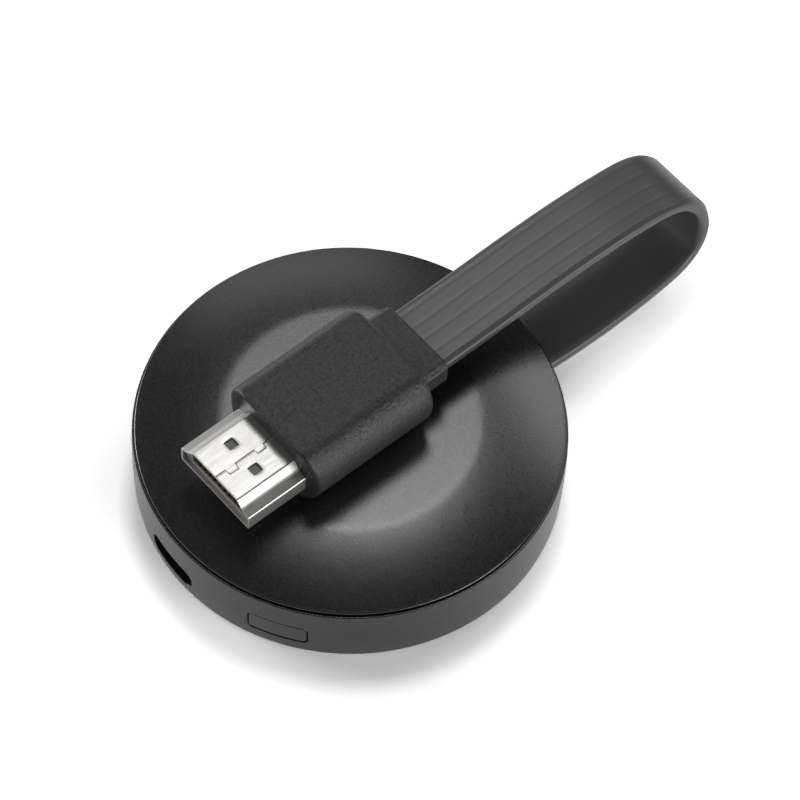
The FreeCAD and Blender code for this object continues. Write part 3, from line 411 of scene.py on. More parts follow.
def make_materials():
    """The materials of all pieces, by the names of their record slots. The real grains are 0.02 to
    0.1 mm wide. They are drawn 0.2 to 0.5 mm wide, because finer ones don't show in the render. The
    hot melt's waves have their real width."""
    case = bpy.context.scene.dongle_case
    cable = bpy.context.scene.dongle_cable
    plug = bpy.context.scene.dongle_plug
    return {
        # Moulded ABS with a spark-eroded grain: nearly black, with a broad highlight that sparkles a little.
        "cover_plastic": surface_material(
            "abs_black_fine_grain", case.cover_colour, 0.3,
            height=0.012, shift=0.03, spread=0.04, glint=0.2, **{"Specular IOR Level": 1.0},
        ),
        # Moulded ABS from a polished tool: an even satin dark grey that lightens towards its sides.
        "case_plastic": surface_material(
            "abs_grey_satin", case.wall_colour, 0.28, grain=0.5, height=0.0008, shift=0.03, spread=0.03,
        ),
        # Moulded PVC with a coarse spark-eroded grain: dusty grey, with lighter, grainy edges.
        "mould_plastic": surface_material(
            "pvc_grey_coarse_grain", plug.mould_colour, 0.44,
            grain=0.34, height=0.11, shift=0.06, spread=0.1, glint=0.65, **{"Specular IOR Level": 0.45},
        ),
        # Moulded TPE: the same grey with hardly any grain, soft and dull.
        "mould_rubber": surface_material(
            "tpe_grey_moulded", plug.mould_colour, 0.5, grain=0.4, height=0.006, shift=0.04, spread=0.05,
        ),
        # Extruded TPE jacket: satin, with faint draw lines along its length.
        "cable_jacket": surface_material(
            "tpe_jacket_extruded", cable.jacket_colour, 0.36,
            grain=0.5, height=0.003, shift=0.04, spread=0.05, stretch=(0.35, 6, 0.35),
        ),
        # Nickel-plated steel sheet, brushed along the plug: bright, with fine streaks of light.
        "shell_steel": surface_material(
            "steel_nickel_brushed", plug.steel_colour, 0.42,
            grain=0.25, height=0.0016, shift=0.02, spread=0.06, stretch=(0.5, 14, 0.5), Metallic=1.0,
        ),
        # Nickel-plated steel, formed in a die: a plain bright lining deep in the port.
        "port_steel": surface_material(
            "steel_nickel_plain", linear("b9b9b8"), 0.3,
            grain=0.4, height=0.002, shift=0.03, spread=0.06, Metallic=1.0,
        ),
        # Rolled tinplate: greyer, with long soft streaks.
        "tin_plate": surface_material(
            "tinplate_rolled", linear("c6c6c2"), 0.34,
            grain=0.35, height=0.003, shift=0.04, stretch=(1, 5, 1), Metallic=1.0,
        ),
        # Zinc-plated steel from a barrel: cool grey with an uneven shine.
        "screw_steel": surface_material(
            "steel_zinc_plated", linear("a9abad"), 0.3, grain=0.2, spread=0.1, Metallic=1.0,
        ),
        # Aluminium sheet as rolled: pale, with streaks across the board.
        "spreader_metal": surface_material(
            "aluminium_mill_finish", linear("c9cacb"), 0.36,
            grain=0.4, shift=0.03, stretch=(8, 1, 1), Metallic=1.0,
        ),
        # Gold-flashed contacts, stamped: small warm glints.
        "contact_metal": surface_material(
            "contact_gold_flash", linear("d9a94a"), 0.24,
            grain=0.2, height=0.001, shift=0.04, spread=0.05, Metallic=1.0,
        ),
        # Moulded liquid crystal polymer, black: dull, so that what it holds stands out.
        "insulator": surface_material("lcp_black_moulded", linear("161616"), 0.5, grain=0.2),
        # The same polymer in grey, as moulded: it shows as grey squares in the latch windows.
        "core_grey": surface_material("lcp_grey_moulded", linear("8a8a89"), 0.5, grain=0.2),
        "board": board_material(),
        # Epoxy moulded round the chip: flat black with a fine sandy grain.
        "chip_resin": surface_material(
            "epoxy_black_moulded", linear("1b1b1c"), 0.6, height=0.006, shift=0.06,
        ),
        # Cast silicone pad: chalky blue and soft.
        "pad_silicone": surface_material(
            "silicone_pad_soft", linear("8fa3b8"), 0.7, grain=0.5, height=0.01, spread=0.05,
        ),
        # Sintered ferrite: dark, with a dry grain.
        "coil_ferrite": surface_material("ferrite_sintered", linear("3d3e41"), 0.55, height=0.01, shift=0.08),
        # Fired ceramic, tumbled: sandy brown with soft corners of light.
        "small_part_body": surface_material("ceramic_fired", linear("b99c73"), 0.45, shift=0.08, spread=0.05),
        # Moulded nylon: cream, a little waxy.
        "header_plastic": surface_material(
            "nylon_cream_moulded", linear("d9d2c0"), 0.45, shift=0.03, spread=0.05,
        ),
        # Extruded PVC coating: a smooth dull red.
        "wire_coating": surface_material(
            "pvc_wire_coating", linear("9c3a33"), 0.35, height=0.002, shift=0.06, spread=0.05,
        ),
        # Hot melt, poured: milky, with slow waves.
        "hot_melt": surface_material("hot_melt_cast", linear("d8d3c4"), 0.5, grain=1.2, height=0.03),
    }


def board_material():
    """Solder mask over copper: tracks 0.3 mm wide and 1.27 mm apart lie a little lighter under the green."""
    material, tree, output = empty_material("fr4_green_solder_mask")
    place = place_in_mm(tree)
    tracks = add_node(
        tree,
        "ShaderNodeTexBrick",
        {
            "Vector": place,
            "Color1": linear("0e4a26"),
            "Color2": linear("105029"),
            "Mortar": linear("1c6b3a"),
            "Scale": 0.39,
            "Mortar Size": 0.06,
            "Bias": 0.0,
        },
        offset=0.35,
    )
    fine = add_node(tree, "ShaderNodeTexNoise", {"Vector": place, "Scale": 3.0, "Detail": 2.0})
    bump = add_node(tree, "ShaderNodeBump", {"Height": tracks.outputs["Fac"], "Distance": 0.03 * MM})
    rough = add_node(tree, "ShaderNodeMapRange", {"Value": fine.outputs["Fac"], "To Min": 0.2, "To Max": 0.4})
    shader = add_node(
        tree,
        "ShaderNodeBsdfPrincipled",
        {
            "Base Color": tracks.outputs["Color"],
            "Roughness": rough.outputs["Result"],
            "Normal": bump.outputs["Normal"],
        },
    )
    tree.links.new(shader.outputs["BSDF"], output.inputs["Surface"])
    return material


MATERIALS = {}


def material_of(slot):
    """The material of a record slot, made with all others at its first use."""
    if not MATERIALS:
        MATERIALS.update(make_materials())
    return MATERIALS[slot]


def dress(node, slot):
    """Gives a CAD node its material."""
    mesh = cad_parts[node].data
    mesh.materials.clear()
    mesh.materials.append(material_of(slot))


def place_piece(name, shape, body, slot, *nodes, **shading):
    """Makes a piece of its slot's material, hangs it on its body and hides the nodes that it stands for."""
    piece = new_piece(name, shape, material_of(slot), **shading)
    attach(piece, body)
    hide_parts(*nodes)
    return piece


# Case

# The wall: its radii, the heights where its foot round ends and its rim round starts, its height, how
# far it bows out between them, and its thickness.
WALL_TOP_RADIUS = 29.25
WALL_FOOT_RADIUS = 29.2
WALL_FOOT = 0.6
WALL_TOP = 10.08
WALL_RIM = 10.2
WALL_BOW = 0.102
WALL_THICKNESS = 1.45
WALL_INSIDE = WALL_TOP_RADIUS - WALL_THICKNESS

# The wall's grid has a column for each degree. Round an opening it gives way between two heights.
WALL_COLUMNS = 360
PATCH_LOW = 1.1
PATCH_HIGH = 7.5
PATCH_ROWS = 20
PATCH_COLUMNS = 32

# Openings in the wall: turn from the port in degrees, half width, half height, corner round, middle height.
OPENINGS = {
    "port": (0.0, 4.45, 1.65, 1.6, 3.6),
    "button": (35.05, 4.2, 1.8, 0.8, 4.3),
    "cable": (180.0, 6.35, 2.05, 0.3, 4.45),
}


def wall_radius(z):
    """The wall's outer radius at a height: its foot and top radii joined by a shallow parabola."""
    share = np.clip((np.asarray(z) - WALL_FOOT) / (WALL_TOP - WALL_FOOT), 0, 1)
    straight = WALL_FOOT_RADIUS + (WALL_TOP_RADIUS - WALL_FOOT_RADIUS) * share
    return straight + WALL_BOW * 4 * share * (1 - share)


def on_wall(turn, loop, recess=0.0, radius=None):
    """A loop of (x, z) points put on the wall beside the direction turn: x runs square to it, and the
    distance out is the root of the radius squared less x squared. Recess moves them straight back in."""
    x, z = loop[:, 0], loop[:, 1]
    outward = np.array([math.sin(turn), -math.cos(turn), 0])
    sideways = np.array([math.cos(turn), math.sin(turn), 0])
    radius = wall_radius(z) if radius is None else radius
    out = np.sqrt(radius**2 - x**2) - recess
    return out[:, None] * outward + x[:, None] * sideways + z[:, None] * np.array([0, 0, 1.0])


def ring_shares(patch):
    """Shares of the way round a patch's border, from its right middle, by running length."""
    closed = np.concatenate([patch, patch[:1]])
    way = np.concatenate([[0], np.cumsum(np.linalg.norm(np.diff(closed, axis=0), axis=1))])
    return way[:-1] / way[-1]


def border_indices():
    """Row and column of the points round a patch's border, from its right middle, counter-clockwise."""
    rows, columns = PATCH_ROWS, PATCH_COLUMNS
    up = [(r, columns) for r in range(rows // 2, rows)]
    back = [(rows, c) for c in range(columns, 0, -1)]
    down = [(r, 0) for r in range(rows, 0, -1)]
    forth = [(0, c) for c in range(columns)]
    rise = [(r, columns) for r in range(rows // 2)]
    return np.array(up + back + down + forth + rise)


def wall_sheet(inner, edge):
    """One side of the wall between the patch heights, with its openings. The wall is a grid of angles and
    heights. Round each opening a patch of the grid gives way to rings that run from the patch's border
    to the opening's outline, each point going straight across in angle and height."""
    step = 2 * math.pi / WALL_COLUMNS
    heights = np.linspace(PATCH_LOW, PATCH_HIGH, PATCH_ROWS + 1)
    angles = np.arange(WALL_COLUMNS) * step
    a, z = np.meshgrid(angles, heights)
    r = np.full_like(z, WALL_INSIDE) if inner else wall_radius(z)
    grid = np.stack([r * np.sin(a), -r * np.cos(a), z], -1).reshape(-1, 3)
    faces = grid_faces(PATCH_ROWS + 1, WALL_COLUMNS, True)
    columns = faces[:, 0] % WALL_COLUMNS
    keep = np.ones(len(faces), bool)
    parts = []
    border = border_indices()
    for turn_degrees, half_x, half_z, corner, middle in OPENINGS.values():
        turn = math.radians(turn_degrees)
        first = int(round(turn_degrees)) - PATCH_COLUMNS // 2
        keep &= (columns - first) % WALL_COLUMNS >= PATCH_COLUMNS
        border_angle = (first + border[:, 1]) * step
        border_height = heights[border[:, 0]]
        rim = np.stack([border_angle * WALL_TOP_RADIUS, border_height], 1)
        shares = ring_shares(rim)
        outline = rounded_loop(half_x + edge, half_z + edge, corner + edge, shares)
        spot_radius = WALL_INSIDE if inner else wall_radius(outline[:, 1] + middle)
        hole_angle = turn + np.arcsin(outline[:, 0] / spot_radius)
        loops = []
        for share in np.linspace(0, 1, 8):
            angle = border_angle + (hole_angle - border_angle) * share
            height = border_height + (outline[:, 1] + middle - border_height) * share
            ring_radius = np.full_like(height, WALL_INSIDE) if inner else wall_radius(height)
            loops.append(np.stack([ring_radius * np.sin(angle), -ring_radius * np.cos(angle), height], 1))
        parts.append(swept(loops))
    return join([(grid, faces[keep])] + parts)


def opening_tunnel(turn_degrees, half_x, half_z, corner, middle, edge):
    """The walls of an opening: a rounded rim whose inset and depth follow a quarter circle, then straight
    back to the wall's inner face."""
    turn = math.radians(turn_degrees)
    first = int(round(turn_degrees)) - PATCH_COLUMNS // 2
    border = border_indices()
    heights = np.linspace(PATCH_LOW, PATCH_HIGH, PATCH_ROWS + 1)
    border_angle = (first + border[:, 1]) * 2 * math.pi / WALL_COLUMNS
    shares = ring_shares(np.stack([border_angle * WALL_TOP_RADIUS, heights[border[:, 0]]], 1))
    loops = []
    for wider, depth in edge_steps(edge, 5):
        loop = rounded_loop(half_x + wider, half_z + wider, corner + wider, shares)
        loops.append(on_wall(turn, loop + [0, middle], depth))
    loop = rounded_loop(half_x, half_z, corner, shares)
    inner = on_wall(turn, loop + [0, middle], radius=WALL_INSIDE)
    mouth = loops[-1]
    loops += [mouth + (inner - mouth) * share for share in (0.25, 0.6, 1.0)]
    return swept(loops)


def case_posts():
    """The bosses, the clamp's posts, the shelf and the port's saddle on the case's floor. A post's row
    gives its place, radius, top and bore."""
    parts = []
    circle = circle_points()
    places = [(x, y, 2.2, 5.05, 0.85) for x, y in ((18.5, 10.5), (-18.5, 10.5), (18.5, -12), (-18.5, -12))]
    places += [(x, 23.3, 1.7, 5.6, 0.65) for x in (7.5, -7.5)]
    for x, y, radius, top, bore in places:
        rings = [(radius, 1.1), (radius, top - 0.1), (radius - 0.1, top), (bore, top), (bore, top - 2.3)]
        loops = [np.column_stack([circle * r + [x, y], np.full(len(circle), z)]) for r, z in rings]
        parts.append(capped(loops, 1))
    parts.append(rounded_block((-5.15, 21.5, 1.1), (5.15, 25.1, 3.3)))
    parts.append(rounded_block((-3.75, -27.6, 1.1), (3.75, -22.2, 2.2)))
    return parts


def build_case():
    """The wall and the floor in one moulding: a revolved foot, rim and floor, with the pierced wall
    between them."""
    edge = bpy.context.scene.dongle_case.port_edge / MM
    round_fall = np.linspace(0, math.pi / 2, 7)
    foot_out = WALL_FOOT_RADIUS - WALL_FOOT + WALL_FOOT * np.sin(round_fall)
    foot = np.stack([foot_out, WALL_FOOT * (1 - np.cos(round_fall))], 1)
    rise = np.linspace(WALL_FOOT, PATCH_LOW, 4)[1:]
    below = np.stack([wall_radius(rise), rise], 1)
    base = np.concatenate([[(0, 0), (9, 0), (20, 0)], foot, below])
    rise = np.linspace(PATCH_HIGH, WALL_TOP, 8)
    above = np.stack([wall_radius(rise), rise], 1)
    rim_round = WALL_RIM - WALL_TOP
    rim_out = WALL_TOP_RADIUS - rim_round * (1 - np.cos(round_fall))
    rim = np.stack([rim_out, WALL_TOP + rim_round * np.sin(round_fall)], 1)
    inner_rim = [(WALL_INSIDE + 0.06, WALL_RIM), (WALL_INSIDE, WALL_RIM - 0.06)]
    inner_wall = [(WALL_INSIDE, 9.0), (WALL_INSIDE, PATCH_HIGH)]
    upper = np.concatenate([above, rim[1:], inner_rim, inner_wall])
    floor = [(WALL_INSIDE, PATCH_LOW), (WALL_INSIDE, 1.6), (WALL_INSIDE - 0.4, 1.2), (16, 1.2), (0, 1.2)]
    parts = [
        revolved(base, WALL_COLUMNS),
        wall_sheet(False, edge),
        revolved(upper, WALL_COLUMNS),
        wall_sheet(True, 0.0),
        revolved(floor, WALL_COLUMNS),
    ]
    parts += [opening_tunnel(*opening, edge) for opening in OPENINGS.values()]
    for name, shapes in (("case_shell", parts), ("case_bosses", case_posts())):
        points, faces = join(shapes)
        place_piece(name, (turned(points, PORT_TURN), faces), "case", "case_plastic", "bottom_case")


# The cover's edge: its radius, its height and its round.
COVER_RADIUS = 28.9
COVER_HEIGHT = 10.845
COVER_ROUND = 0.2


def build_cover():
    """The crowned lid. Its height falls from the flat middle by the running sum of its slope, which sets
    in over 2 mm at the crown's radius and then grows in step with the radius to the edge. Below its edge
    it steps in to the wall's top, goes down as a skirt inside the wall and back up to the lid's inside."""
    case = bpy.context.scene.dongle_case
    crown = case.crown_radius / MM
    rise = case.crown_rise / MM
    round_start = COVER_RADIUS - COVER_ROUND
    r = np.linspace(0, round_start, 190)
    onset = np.clip((r - crown) / 2.0 + 0.5, 0, 1)
    slope = onset * onset * (3 - 2 * onset) * (0.5 + np.clip((r - crown) / (round_start - crown), 0, 1))
    fall = np.concatenate([[0], np.cumsum((slope[1:] + slope[:-1]) / 2 * np.diff(r))])
    top = np.stack([r, COVER_HEIGHT + rise * (1 - fall / fall[-1])], 1)
    turn = np.linspace(0.3, math.pi / 2, 7)
    edge_height = COVER_HEIGHT - COVER_ROUND + COVER_ROUND * np.cos(turn)
    edge = np.stack([round_start + COVER_ROUND * np.sin(turn), edge_height], 1)
    inside = 11.85
    under = softened(
        [
            (COVER_RADIUS, 10.66),
            (28.88, 10.6),
            (28.5, 10.42),
            (28.45, 10.2),
            (27.7, 10.2),
            (27.7, 8.75),
            (26.5, 8.75),
            (26.5, 9.5),
            (crown, inside),
            (0, inside),
        ],
        [0.02, 0.05, 0.05, 0.05, 0.1, 0.1, 0.1, 0.3],
        3,
    )
    shape = revolved(np.concatenate([top, edge, under]), 320)
    place_piece("cover_crown", shape, "case", "cover_plastic", "top_cover")


def build_button():
    """The reset button: a cap that follows the wall and sits a little below it, a flange behind it and
    a nub that presses the switch."""
    gap = bpy.context.scene.dongle_case.button_gap / MM
    turn_degrees, half_x, half_z, corner, middle = OPENINGS["button"]
    turn = math.radians(turn_degrees)
    shares = np.linspace(0, 1, 160, endpoint=False)
    edge = 0.09
    sink = 0.03
    place = [0, middle + gap / 2]
    side = rounded_loop(half_x - gap, half_z - gap, corner - gap, shares)
    loops = [on_wall(turn, side + place, recess) for recess in (1.8, 1.0, 0.4)]
    for inset, depth in edge_steps(edge, 5)[::-1]:
        loop = rounded_loop(half_x - gap - inset, half_z - gap - inset, corner - gap, shares)
        loops.append(on_wall(turn, loop + place, sink + depth))
    rim = rounded_loop(half_x - gap - edge, half_z - gap - edge, corner - gap, shares)
    loops += [on_wall(turn, rim * share + place, sink) for share in np.linspace(1, 0, 12)[1:]]
    centre = loops[0].mean(0)
    back = [centre + (loops[0] - centre) * share for share in (0.0, 0.5)]
    cap = swept(back + loops)
    flange = rounded_block((-4.8, -27.2, 1.9), (4.8, -26.5, 6.7))
    nub = []
    for radius, y in ((0.7, -26.7), (0.7, -25.8), (0.6, -25.7)):
        ring = circle_points() * radius + [0, 3.95]
        nub.append(np.insert(ring, 1, y, axis=1))
    points, faces = join([flange, capped(nub, 2)])
    points, faces = join([cap, (turned(points, turn), faces)])
    shape = (turned(points, PORT_TURN), faces)
    place_piece("button_cap", shape, "reset_button", "case_plastic", "reset_button")


# Cable


def cable_line():
    """The smooth line of the free cable as points: a spline of order three with the route's points as its
    control points, read from a curve that has no bevel."""
    curve = bpy.data.curves.new("cable_line", "CURVE")
    curve.dimensions = "3D"
    curve.resolution_u = 16
    spline = curve.splines.new("NURBS")
    spline.points.add(len(CABLE_ROUTE) - 1)
    controls = np.column_stack([np.array(CABLE_ROUTE) * MM, np.ones(len(CABLE_ROUTE))])
    spline.points.foreach_set("co", controls.ravel())
    spline.order_u = 3
    spline.use_endpoint_u = True
    holder = bpy.data.objects.new("cable_line", curve)
    mesh = bpy.data.meshes.new_from_object(holder)
    line = np.zeros(len(mesh.vertices) * 3)
    mesh.vertices.foreach_get("co", line)
    bpy.data.objects.remove(holder)
    bpy.data.curves.remove(curve)
    bpy.data.meshes.remove(mesh)
    return line.reshape(-1, 3)


def cable_section():
    """The cable's section as (across, up) points, with up on the outer side of the loop: a fluted outer
    face between two low steps, rounded sides, and a plain inner face."""
    cable = bpy.context.scene.dongle_cable
    half = cable.width / MM / 2
    thick = cable.thickness / MM / 2
    step = cable.step / MM
    flute = cable.flute / MM
    band = half - 0.95
    across = np.linspace(-band, band, 91)
    grooves = np.array([-4.0, -1.66, 0.64, 2.93])
    groove_width = 0.28
    away = (across[:, None] - grooves) / groove_width
    waves = -flute * np.exp(-(away**2)).sum(1)
    outer = np.stack([across, thick + waves], 1)
    corners = [
        (band, thick),
        (band + 0.12, thick - step),
        (half - 0.62, thick - step),
        (half, thick - step - 0.45),
        (half, -thick + 0.5),
        (half - 0.75, -thick),
        (0, -thick),
    ]
    right = softened(corners, [0.06, 0.3, 0.3, 0.4, 0.35], 6)[1:]
    left = (right * [-1, 1])[::-1][1:]
    return np.concatenate([outer, right, left])


def build_cable():
    """The flat cable: its section is carried along its line, with its width kept level across the loop:
    the width runs along X less X's own part along the line, and the height is square to both."""
    line = cable_line()
    along = np.gradient(line, axis=0)
    along /= np.linalg.norm(along, axis=1)[:, None]
    level = np.array([1.0, 0, 0]) - along[:, :1] * along
    level /= np.linalg.norm(level, axis=1)[:, None]
    up = np.cross(along, level)
    section = cable_section()
    loops = line[:, None] / MM + level[:, None] * section[:, :1] + up[:, None] * section[:, 1:]
    piece = new_piece("cable_ribbon", capped(loops, 1), material_of("cable_jacket"), sharp=40)
    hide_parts("flat_cable")
    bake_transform(piece)
    pieces = [bpy.data.objects[name] for name in ("plug_moulding", "plug_relief", "plug_steel_shell")]
    pieces += [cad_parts[name] for name in PLUG_INSIDE]


# Plug

PLUG_LOOP = np.linspace(0, 1, 224, endpoint=False)

# The steel shell in the plug's own frame: its half width, its top and its underside.
SHELL_SIDE = 6.95
SHELL_TOP = 2.05
SHELL_LOW = -2.4


def at_plug(loop, y):
    """A loop of (x, z) points in the plug's own frame, put at a place along the plug. y may differ for
    each point."""
    along = np.broadcast_to(y, len(loop))
    return np.stack([loop[:, 0] + PLUG_SIDE, along + PLUG_FORWARD, loop[:, 1] + PLUG_HEIGHT], 1)


def mould_loop(inset):
    """The moulding's outline: a flat top, an edge round about (5.43, 2.7) and a bowed side about (3.19, 0).
    An inset takes the same length from each radius and height."""
    edge_angle = math.radians(50.34)
    side = np.linspace(0, edge_angle, 14)
    bend = np.linspace(edge_angle, math.pi / 2, 12)[1:]
    side_line = np.stack([3.193 + (6.007 - inset) * np.cos(side), (6.007 - inset) * np.sin(side)], 1)
    bend_line = np.stack([5.431 + (2.5 - inset) * np.cos(bend), 2.7 + (2.5 - inset) * np.sin(bend)], 1)
    return four_ways(np.concatenate([side_line, bend_line, [(0, 5.2 - inset)]]), PLUG_LOOP)


def shell_outline(wider=0.0):
    """The plug shell's outline as a closed line from its right middle: the narrow face is on top, over
    shoulders that drop and then run out to the sides."""
    side, top, low_edge = SHELL_SIDE + wider, SHELL_TOP + wider, SHELL_LOW - wider
    shoulder = [(5.65 + wider / 2, 0.95 + wider), (4.55 + wider / 2, top)]
    half = [(side, -1.0), (side, 0.3 + wider / 2), *shoulder, (0, top)]
    upper = softened(half, [0.2, 0.3, 0.22], 5)
    low = softened([(side, -1.0), (side, low_edge), (0, low_edge)], [0.45], 6)
    right = np.concatenate([low[::-1], upper[1:]])
    left = (right * [-1, 1])[::-1]
    whole = np.concatenate([right, left[1:]])
    start = len(low) - 1
    whole = np.concatenate([whole[start:-1], whole[: start + 1]])
    return at_shares(whole, PLUG_LOOP)


def front_bow(loop, depth):
    """How far a front edge falls back towards the sides: depth times the fourth power of the share of
    the half width."""
    return depth * np.abs(loop[:, 0] / 9.2) ** 4


def cable_slot():
    """The outline of the slot that the cable's end fills, in the moulding and in the collar behind it."""
    return rounded_loop(5.5, 1.2, 0.9, PLUG_LOOP)


def build_moulding():
    """The grained moulding round the plug's back: one wall that runs from its rear to its front, in
    through the shell's opening, round the room for the can and out through the cable's slot."""
    front, rear = -12.2, 8.6
    front_round, rear_round = 0.35, 1.1
    bow = 0.9
    loops = []
    for inset, depth in edge_steps(rear_round, 7):
        loops.append(at_plug(mould_loop(inset), rear - depth))
    for y in np.linspace(6.8, -11.0, 12):
        loops.append(at_plug(mould_loop(0), y))
    for inset, depth in edge_steps(front_round, 7)[::-1]:
        loop = mould_loop(inset)
        loops.append(at_plug(loop, front + depth + front_bow(loop, bow)))
    inner_rim = shell_outline(0.06)
    outer_rim = mould_loop(front_round)
    for share in (0.15, 0.3, 0.6, 1.0):
        loop = outer_rim + (inner_rim - outer_rim) * share
        dip = front_round * math.sin(share * math.pi / 2)
        loops.append(at_plug(loop, front + dip + front_bow(loop, bow) * (1 - share)))
    loops.append(at_plug(inner_rim, -10.75))
    room = rounded_loop(7.4, 2.7, 0.3, PLUG_LOOP) + [0, -0.175]
    loops += [at_plug(room, -10.7), at_plug(room, 6.25)]
    slot = cable_slot()
    loops += [at_plug(slot, 6.3), at_plug(slot, rear)]
    place_piece("plug_moulding", swept(loops, True), "plug", "mould_plastic", "plug_mould")


def build_relief():
    """The collar behind the moulding: a block with chamfered sides and the cable's slot through it."""
    front, rear = 8.6, 13.3
    rim = 0.4
    loops = []

    def outline(inset):
        side = [(6.3 - inset, 0), (6.3 - inset, 1.4 - inset / 2)]
        top = [(5.5 - inset / 2, 2.2 - inset), (0, 2.2 - inset)]
        quarter = softened(side + top, [0.25, 0.25], 5)
        return four_ways(quarter, PLUG_LOOP)

    slot = cable_slot()
    loops.append(at_plug(slot, front))
    loops += [at_plug(outline(0), y) for y in (front, 8.9, 10.0, 11.5, 12.6)]
    loops += [at_plug(outline(inset), rear - depth) for inset, depth in edge_steps(rim, 6)[::-1]]
    loops += [at_plug(slot, rear), at_plug(slot, rear - rim)]
    place_piece("plug_relief", swept(loops, True), "plug", "mould_plastic", "strain_relief")


# Rows of the shell along the plug: place, the seam's place across, and the shift of its edge there. They
# include the rims of the latch windows, and the seam steps sideways round two tabs.
SEAM_ROWS = [
    (-21.4, 0.1, 0), (-21.2, 0.1, 0), (-20.4, 0.1, 0), (-19.75, 0.1, 0.035), (-19.7, 1.05, 0.035),
    (-19.2, 1.05, 0), (-18.7, 1.05, 0), (-18.2, 1.05, -0.035), (-18.15, 0.1, -0.035), (-17.8, 0.1, 0),
    (-17.4, 0.1, 0), (-16.9, 0.1, 0), (-16.4, 0.1, 0), (-15.9, 0.1, 0), (-15.4, 0.1, 0),
    (-14.95, 0.05, 0.035), (-14.9, 0.86, 0.035), (-14.4, 0.86, 0), (-14.0, 0.86, 0), (-13.5, 0.86, -0.035),
    (-13.45, 0.05, -0.035), (-12.9, 0.05, 0), (-12.2, 0.05, 0), (-11.0, 0.05, 0), (-9.0, 0.05, 0),
]


def build_shell():
    """The plug's folded steel tube: one strip that starts at the seam on top, runs round the section and
    comes back to the seam. Its first and last columns follow the seam's tabs, and the cells of the four
    latch windows are left out. The sheet gets its thickness and its rounded rims from modifiers."""
    plug = bpy.context.scene.dongle_plug
    seam = plug.seam / MM / 2
    rows = np.array(SEAM_ROWS)
    window_side, window_place = 2.46, -16.65
    top = np.array([(x, SHELL_TOP) for x in (0.0, 0.5, 1.0, 1.4, 1.71, 2.2, 2.7, 3.21, 3.7)])
    shoulder = [(3.7, SHELL_TOP), (4.55, SHELL_TOP), (5.6, 0.9), (SHELL_SIDE, 0.35)]
    low_edge = [(SHELL_SIDE, -1.0), (SHELL_SIDE, SHELL_LOW), (5.2, SHELL_LOW)]
    bend = softened(shoulder + low_edge, [0.2, 0.4, 0.22, 0.2, 0.45], 6)
    bottom = np.array([(x, SHELL_LOW) for x in (4.2, 3.21, 2.7, 2.2, 1.71, 0.85, 0.0)])
    right = np.concatenate([top, bend[1:-1], bottom])
    line = np.concatenate([right, (right * [-1, 1])[::-1][1:]])
    columns, count = len(line), len(rows)
    x = np.tile(line[:, 0], (count, 1))
    z = np.tile(line[:, 1], (count, 1))
    y = np.tile(rows[:, :1], (1, columns))
    near = 4
    share = np.linspace(0, 1, near + 1)
    for sign in (1, -1):
        edge_x = rows[:, 1:2] + seam * sign
        edge_y = rows[:, :1] - rows[:, 2:] * sign
        outer = top[near, 0] * sign
        new_x = edge_x + (outer - edge_x) * share
        new_y = edge_y + (rows[:, :1] - edge_y) * share
        if sign > 0:
            x[:, : near + 1], y[:, : near + 1] = new_x, new_y
        else:
            x[:, -near - 1 :], y[:, -near - 1 :] = new_x[:, ::-1], new_y[:, ::-1]
    points = np.stack([x + PLUG_SIDE, y + PLUG_FORWARD, z + PLUG_HEIGHT], -1).reshape(-1, 3)
    faces = grid_faces(count, columns)
    middle = np.stack([x, y], -1).reshape(-1, 2)[faces].mean(1)
    level = z.reshape(-1)[faces].mean(1)
    reach = plug.window / MM / 2
    flat = (level > SHELL_TOP - 0.01) | (level < SHELL_LOW + 0.01)
    beside = np.abs(np.abs(middle[:, 0]) - window_side) < reach
    window = flat & beside & (np.abs(middle[:, 1] - window_place) < reach)
    strip = (points, faces[~window])
    piece = place_piece("plug_steel_shell", strip, "plug", "shell_steel", "plug_shell", sharp=40, weld=False)
    # The first face is on top, so it shows whether the strip faces outwards.
    if piece.data.polygons[0].normal.z < 0:
        piece.data.flip_normals()
    solid = piece.modifiers.new("sheet", "SOLIDIFY")
    solid.thickness = plug.sheet
    solid.offset = -1
    bevel = piece.modifiers.new("rims", "BEVEL")
    bevel.width = 0.04 * MM
    bevel.segments = 2
    bevel.limit_method = "ANGLE"
    bevel.angle_limit = math.radians(60)


# Stage

# The camera that the photograph gives: the direction back to it, the level direction to its right before
# its roll, and the point it looks at, in millimetres.
CAMERA_BACK = (0.3884, -0.3685, 0.8446)
CAMERA_SIDE = (0.6882, 0.7255, 0)
CAMERA_TARGET = (-3.72, 12.38, 0)

# The lamps: name, place and size in metres, power in watts. All face one point over the part's middle.
# The first two give the crescent of light on the cover and its fading end.
LAMP_TARGET = (0, 0.01, 0.01)
LAMPS = (
    ("gloss_strip", (-0.255, 0.265, 0.82), (0.23, 0.24), 1.45),
    ("gloss_fade", (-0.12, 0.145, 0.88), (0.23, 0.13), 0.1),
    ("top_softbox", (-0.02, 0.05, 0.9), (0.24, 0.2), 0.02),
    ("right_softbox", (0.8, 0.15, 0.16), (0.5, 0.24), 4.0),
    ("rear_softbox", (-0.1, 0.68, 0.55), (0.4, 0.3), 1.0),
    ("rear_left_softbox", (-0.64, 0.4, 0.4), (0.4, 0.3), 0.4),
    ("left_softbox", (-0.8, -0.3, 0.14), (0.4, 0.24), 5.0),
    ("front_softbox", (-0.3, -0.75, 0.35), (0.4, 0.3), 0.3),
)


